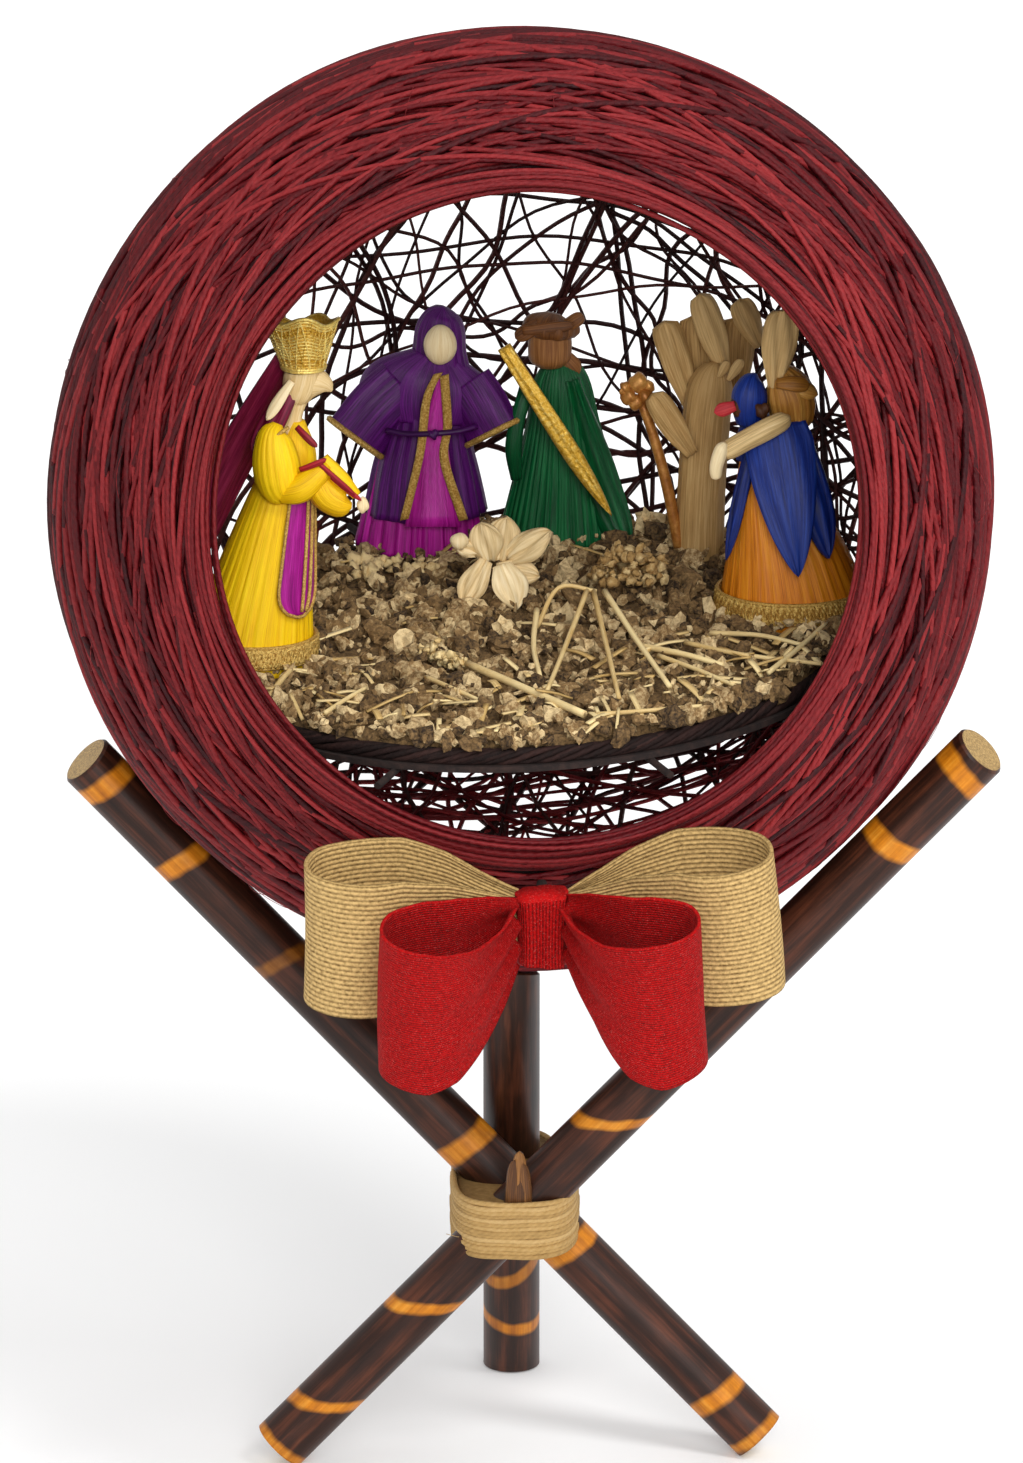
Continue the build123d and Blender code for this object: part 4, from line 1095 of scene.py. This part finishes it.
def blue_head():
    """Face, scarf, collar, arms and hat petal."""
    piece = Piece("blue_face")
    ball(piece, (71, 0.6, 30.6), (4.6, 4.6, 5), tone=0.1)
    ball(piece, (76.4, -4.0, 30), (2.4, 2.0, 2.8), tone=0.0, dent=0.2)
    piece.make(BROWN, "pale_husk", "blue_head")
    piece = Piece("blue_face_scarf")
    petal(piece, (68, -3.4, 31.6), (61.2, -4, 29.6), 4.4, (0, -1, 0.2), 0.6, tone=0.6, root=0.7, blunt=0.3)
    piece.make(SCARLET, "red_husk")
    piece = Piece("blue_collar_husk")
    body(piece, ((86.6, 3, 22.4, 3.6, 3.6), (86.4, 2.6, 26, 6.6, 6), (85.4, 2, 34, 7.6, 6.8),
                 (82.8, 1.6, 40.4, 4.8, 4.4), (81.4, 1.6, 42.6, 0.8, 0.8)), 50, 11, 0.06, 0.5,
         ref=(1, 0, 0), fade=0.2, turn=0.4)
    petal(piece, (86, -2.5, 38), (94.2, -1.5, 34.6), 5.4, (0.3, -1, 0.6), 1.5, 0.2, tone=0.6, root=0.8,
          blunt=0.3)
    petal(piece, (81, -4.4, 39.4), (91.6, -3.4, 38.4), 5.0, (0, -1, 0.6), 1.6, 0.2, tone=0.35, root=0.6)
    piece.make(GOLDEN, "golden_husk", "blue_collar")
    piece = Piece("blue_arm_husk")
    body(piece, ((85, -7, 29.6, 0.5, 0.5), (83.6, -8, 28.4, 2.8, 2.4), (79, -10, 26.4, 3.5, 3.0),
                 (71, -12, 22.6, 3.4, 2.8), (65.4, -13, 19.6, 3.1, 2.6), (63.6, -13, 18.8, 1.2, 1.2)), 32,
         7, 0.025, 0.35, ref=(0, 0, 1))
    body(piece, ((65, -14.4, 22.6, 0.8, 0.8), (63.6, -14.6, 20.6, 2.2, 2), (62, -14.8, 15.4, 2.2, 1.9),
                 (61.8, -14.8, 11.6, 1.7, 1.5), (61.8, -14.8, 10.6, 0.4, 0.4)), 24, 5, 0.02, 0.8)
    piece.make(PALE, "pale_husk", "blue_arms")
    piece = Piece("blue_hat_husk")
    petal(piece, (80, -1.5, 37), (83.4, -2, 63), 11.2, (0.1, -1, 0.15), 1.0, 0.1, 1.2, 0.7, 0.32, 1.6, 0.62,
          stations=28, across=13)
    piece.make(BEIGE, "beige_husk", "blue_hat_petal")


# Base, tip, width, bend and facing.
CHILD_PETALS = (
    ((-10, 16, -26), (-12.5, 15, -12.5), 11, 1.4, (0.1, -1, 0.3)),
    ((-4, 16, -25), (9.8, 14.5, -15.5), 10, 1.2, (0, -1, 0.4)),
    ((-11, 14, -25), (-18.5, 11, -39), 9, 1.0, (-0.2, -1, 0.2)),
    ((-6, 13, -26), (-1.5, 9, -40), 12, 1.6, (0.1, -1, 0.3)),
    ((-7, 17, -26), (-4.5, 18, -11.5), 12, 1.0, (0, -1, 0.2)),
    ((-14, 16, -23), (-21.5, 14, -19), 6, 0.8, (0, -1, 0.3)),
    ((-8, 16, -28), (6, 13, -30), 9, 1.2, (0, -1, 0.6)),
)


def child():
    """The child's head in an open husk."""
    piece = Piece("child_petal_husk")
    for base, tip, width, bend, facing in CHILD_PETALS:
        petal(piece, base, tip, width, facing, bend, rng.uniform(-0.1, 0.2), 0.7, rng.uniform(0.35, 0.7), 0.5,
              rng.uniform(0.1, 0.6), 1.0, rng.uniform(0.4, 0.65), rng.uniform(-0.5, 0.5))
    piece.make(CREAM, "cream_husk", "child_petals")
    piece = Piece("child_face")
    ball(piece, (-19.6, 12.5, -18.2), (3.0, 2.7, 2.7), 22, 14, 0.55, 0.04)
    piece.make(CREAM, "cream_husk", "child_head")


# ---- bow ------------------------------------------------------------------------------------------
KNOT = at(6.5, -142, -97.5)
SQUARENESS = 3.4  # 2 would give an ellipse


class BowFrame:
    """Axes of a loop at the knot: sideways, backwards and along the ribbon's width."""

    def __init__(self, tilt, roll=0.0):
        t, r = math.radians(tilt), math.radians(roll)
        z = np.array((0, -math.sin(t), math.cos(t)))
        x = np.array((1.0, 0, 0))
        self.x = x * math.cos(r) + z * math.sin(r)
        self.y = np.cross(z, x)
        self.z = z * math.cos(r) - x * math.sin(r)

    def point(self, x, y, z):
        return KNOT + x[..., None] * self.x + y[..., None] * self.y + z[..., None] * self.z


def ribbon_loop(name, side, outline, front, frame_axes, thick, folds, material, slot, node):
    """A loop of ribbon.

    The outline is seen along the ribbon's width, and front gives its low and high edge. The folds
    are the depth of the gathers, their number, their reach from the knot and the outer waves' depth.
    """
    around, across = 96, 40
    line_points = spread(np.array(outline, float), around)
    x, y = line_points[:, 0], line_points[:, 1]
    front = np.array(front, float)
    low, high = np.interp(x, front[:, 0], front[:, 1]), np.interp(x, front[:, 0], front[:, 2])
    w = np.linspace(0, 1, across)
    tangent = np.gradient(line_points, axis=0)
    tangent /= np.linalg.norm(tangent, axis=1, keepdims=True)
    normal = np.stack([tangent[:, 1], -tangent[:, 0]], -1)
    near = np.exp(-np.clip(x - 8, 0, None) / folds[2])[:, None]
    fold = folds[0] * near * np.sin(folds[1] * w[None] * 2 * np.pi + 1.2 * np.sin(x[:, None] * 0.05) + side)
    fold = fold + folds[3] * np.sin(x[:, None] * 0.11 + w[None] * 3.0 + 2 * side) * (1 - near)
    z = low[:, None] + (high - low)[:, None] * w

    def face(offset):
        px = x[:, None] + normal[:, :1] * (fold + offset)
        py = y[:, None] + normal[:, 1:] * (fold + offset)
        return frame_axes.point(side * px, py, z)

    rows = np.concatenate([face(thick / 2), face(-thick / 2)[:, ::-1]], 1)
    piece = Piece(name)
    v = np.concatenate([w, w[::-1], [0]]) * float((high - low).max())
    piece.grid(rows, 0.5, u=lengths(line_points), v=v)
    obj = piece.make(material, slot, node)
    return obj, float(lengths(line_points)[-1])


JUTE_LOOP = ((8.0, 5.0), (24, 12), (42, 16), (58, 15), (70, 9.5), (74.2, 0), (72, -8), (64, -13.5),
             (53, -14.6), (40, -10), (26, -4), (16, -1), (8.0, 0.5))
JUTE_EDGE = ((8, -10, 10), (20, -15, 14), (30, -20, 18.5), (44, -24.5, 22.5), (80, -25, 23))
RED_LOOP = ((8.0, -1.2), (18, -9.5), (29, -17), (40, -21), (47.5, -25), (50.5, -32), (48.5, -39), (41, -44.5),
            (31, -45), (21, -38), (13, -23), (8.0, -6.5))
RED_EDGE = ((8, -10.5, 12), (16, -19, 17.5), (26, -29, 22), (36, -32.5, 24), (60, -30, 24))


def bow_loops():
    """A jute loop and a red loop on each side."""
    for word, side in (("left", -1), ("right", 1)):
        frame_jute, frame_red = BowFrame(12, 4 if side > 0 else 0), BowFrame(20, 4 if side > 0 else 0)
        jute, length = ribbon_loop("jute_ribbon_" + word, side, JUTE_LOOP, JUTE_EDGE, frame_jute, 1.3,
                                   (1.5, 3.0, 12.0, 0.5), JUTE, "jute", "jute_loop_" + word)
        red, length = ribbon_loop("red_ribbon_" + word, side, RED_LOOP, RED_EDGE, frame_red, 1.0,
                                  (1.6, 2.6, 11.0, 0.7), RED, "red_ribbon", "red_loop_" + word)


def rounded_square(angle):
    c, s = np.cos(angle), np.sin(angle)
    reach = (np.abs(c) ** SQUARENESS + np.abs(s) ** SQUARENESS) ** (-1 / SQUARENESS)
    return reach * c, reach * s


def bow_knot():
    """The red wrap over the middle of the bow."""
    piece = Piece("bow_wrap")
    axes = BowFrame(12)
    rise = np.linspace(-12.4, 11.6, 22)
    angle = np.arange(96) * 2 * np.pi / 96
    round_x, round_y = rounded_square(angle)
    wide = 7.1 + 0.7 * (rise + 13) / 26 + 0.4 * (rise / 13) ** 2
    deep = 5.2 + 0.3 * (rise / 13) ** 2
    groove = 1 + 0.035 * np.sin(9 * angle + 1.0) + 0.03 * np.sin(5 * angle)
    rows = axes.point(wide[:, None] * (round_x * groove), deep[:, None] * (round_y * groove),
                      rise[:, None] + 0.8 * np.cos(angle)[None] * (rise[:, None] / 13))
    piece.grid(rows, 0.5, u=rise, v=np.linspace(0, 44, 97))
    piece.make(RED, "red_ribbon", "bow_knot")


# ---- lashing ---------------------------------------------------------------------------------------
WRAP = at(-2, -7, -229.8)
COURSES, LOWEST_COURSE, CORD_THICK, LOOSE_ENDS = 14, -8.6, 0.92, 9


def lashing():
    """Courses of jute hugging the crossing of the sticks, narrower behind."""
    t = np.linspace(0, 2 * np.pi, 140)
    piece = Piece("jute_lashing")
    loop_x, loop_y = rounded_square(t)
    loop_x *= 1 - 0.42 * np.clip(loop_y, 0, 1) ** 0.8
    core = np.stack([18.4 * loop_x[:-1], 36.2 * loop_y[:-1], 0 * t[:-1]], -1)
    piece.grid(np.stack([WRAP + core + (0, 0, -8.3), WRAP + core + (0, 0, 8.3)]), 0.05)
    for k in range(COURSES):
        height = LOWEST_COURSE * (1 - 2 * k / (COURSES - 1))
        tilt, phase, swell = rng.normal() * 0.15, rng.uniform(0, 6.28), rng.normal() * 0.15
        path = WRAP + np.stack([(19.6 + swell) * loop_x, (39.2 + swell) * loop_y,
                                height + tilt * np.sin(t + phase) + 0.15 * np.sin(7 * t + phase)], -1)
        tube(piece, path, CORD_THICK, 8, path - WRAP, rng.uniform(0.35, 0.7), True)
    for k in range(LOOSE_ENDS):
        spot, fall = rng.uniform(3.6, 5.8), rng.uniform(-8, 8)
        start = WRAP + np.array((20.6 * math.cos(spot), 38.2 * math.sin(spot), fall))
        end = start + np.array((rng.normal() * 3, -rng.uniform(0.5, 2.5), rng.normal() * 2.5))
        tube(piece, spread([start, (start + end) / 2 + rng.normal(size=3) * 0.6, end], 6), 0.12, 3,
             (0.1, 0.2, 1), 0.8)
    piece.make(JUTE_CORD, "jute", "lashing_wrap", body="stand")


# Place sideways, height, lean, width and shade.
TUFT_LEAVES = (
    (-2.4, 19, -0.8, 4.6, 0.4),
    (0.4, 22, 0.5, 4.6, 0.7),
    (2.8, 18, 1.2, 4.6, 0.5),
    (1, 13, 1.0, 7, 0.3),
)


def husk_tuft():
    """Husk ends that stick out of the front of the lashing."""
    piece = Piece("husk_tuft_leaves")
    for x, top, lean, width, tone in TUFT_LEAVES:
        base = WRAP + np.array((1 + x, -36.8, 5.5))
        petal(piece, base - GLOBE, base - GLOBE + (-x * 0.9 + lean, -1.5, top - 1), width,
              (0.1 * x, -1, 0.1), 0.8, 0.3, 0.6, tone, 0.95, 0.8, 0.1)
    piece.make(TUFT, "brown_husk", "husk_tuft", body="stand")


# ---- sticks and other CAD pieces that keep their shape ----------------------------------------------
# Foot, head and amber bands of each stick.
STICKS = {
    "stick_left_foot": (
        (-77, -31, -306.4), (146, -39.5, -71.5),
        ((0.972, 3.2, 0.1, 1.0), (0.873, 3.0, -0.15, 1.0), (0.4765, 2.3, -0.9, 0.95),
         (0.211, 2.2, -0.9, 0.95), (0.0683, 2.2, -0.75, 0.95), (0.004, 1.8, -0.1, 0.8)),
    ),
    "stick_right_foot": (
        (76, -22, -306.3), (-138.5, -2, -86.3),
        ((0.968, 3.2, 0.1, 1.0), (0.8546, 3.0, 0.15, 1.0), (0.707, 2.2, 0.3, 0.28),
         (0.4365, 3.4, 0.1, 0.95), (0.2826, 3.2, 0.1, 0.95), (0.0614, 2.6, 0.1, 0.95),
         (0.004, 1.8, 0.1, 0.8)),
    ),
    "stick_back_foot": (
        (-3, 74.5, -318), (-3, -36.8, -145.9),
        ((0.165, 2.6, 0.25, 0.95), (0.30, 3.0, -0.6, 0.7), (0.46, 1.4, 0.2, 0.3), (0.0, 1.0, 0.0, 0.4)),
    ),
}


def give(name, material):
    """A CAD piece that keeps its shape gets a material."""
    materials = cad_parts[name].data.materials
    materials.clear()
    materials.append(material)


def paint_cad_pieces():
    """The sticks and the plain pieces that hardly show."""
    for name, (foot, head, bands) in STICKS.items():
        give(name, stick_look(name, at(*foot), at(*head), bands))
    for name in ("floor_board", "floor_ties", "bow_tie"):
        give(name, CARD)


# ---- stage, light and camera -------------------------------------------------------------------------
STAGE_SIZE, STAGE_DROP = 160, 0.0005  # metres
FLOOR_GLOW, SKY_STRENGTH = 0.05, 0.8
CAMERA_FAR, LENS_PER_METRE, PHOTO_RISE = 12.0, 77.5, math.radians(17.3)


def stage():
    """A wide white floor."""
    bpy.ops.mesh.primitive_plane_add(size=STAGE_SIZE, location=(0, 0, -STAGE_DROP))
    floor = bpy.context.object
    floor.name = "stage_floor"
    pale = bpy.data.materials.new("pale floor")
    pale.use_nodes = True
    inputs = pale.node_tree.nodes["Principled BSDF"].inputs
    inputs["Base Color"].default_value = (0.93, 0.93, 0.93, 1)
    inputs["Emission Color"].default_value = (1, 1, 1, 1)
    inputs["Emission Strength"].default_value = FLOOR_GLOW
    inputs["Roughness"].default_value = 0.7
    inputs["Specular IOR Level"].default_value = 0.1
    floor.data.materials.append(pale)


def daylight():
    """Even white light from all round."""
    world = bpy.data.worlds.new("studio")
    world.use_nodes = True
    world.node_tree.nodes["Background"].inputs["Color"].default_value = (1, 1, 1, 1)
    world.node_tree.nodes["Background"].inputs["Strength"].default_value = SKY_STRENGTH
    bpy.context.scene.world = world


def sun(name, place, strength, softness):
    """Light from the direction of a place; softness is its width in degrees."""
    data = bpy.data.lights.new(name, "SUN")
    data.energy, data.angle = strength, math.radians(softness)
    sun_object = bpy.data.objects.new(name, data)
    sun_object.rotation_euler = (-Vector(place)).to_track_quat("-Z", "Y").to_euler()
    bpy.context.scene.collection.objects.link(sun_object)


def lights():
    """Soft light from the front, from above on the right and from above."""
    sun("front", (0.12, -1.0, 0.42), 1.45, 24)
    sun("key", (0.6, -0.8, 1.15), 1.15, 16)
    sun("top", (-0.35, -0.1, 1.0), 0.2, 40)


def photo_camera():
    """Looks down at the photograph's angle from far off."""
    bpy.context.scene.view_settings.view_transform = "Standard"
    aim = Vector((-0.004, -0.0025, 0.2412))
    back = Vector((0, -math.cos(PHOTO_RISE), math.sin(PHOTO_RISE)))
    lens = bpy.data.cameras.new("camera")
    camera = bpy.data.objects.new("camera", lens)
    camera.location = aim + back * CAMERA_FAR
    camera.rotation_euler = (-back).to_track_quat("-Z", "Y").to_euler()
    lens.lens = LENS_PER_METRE * CAMERA_FAR
    lens.clip_end = 200
    bpy.context.scene.collection.objects.link(camera)
    bpy.context.scene.camera = camera


# ---- everything in order, as each part draws its random numbers in turn ---------------------------
PARTS = (
    band_threads, band_backing, rim_threads, net_threads, net_threads_low, stray_fibres,
    edge_twine, ground_base, crumbs, straw_bits, straws, seed_head_stem, round_seeds, loose_seeds,
    yellow_skirt, yellow_arms, yellow_head, yellow_crown, yellow_veil, purple_clothes, purple_head,
    green_clothes, green_head, angel, staff, orange_skirt, blue_clothes, blue_head, child,
    bow_loops, bow_knot, lashing, husk_tuft, paint_cad_pieces, stage, daylight, lights,
    photo_camera,
)
for part in PARTS:
    part()
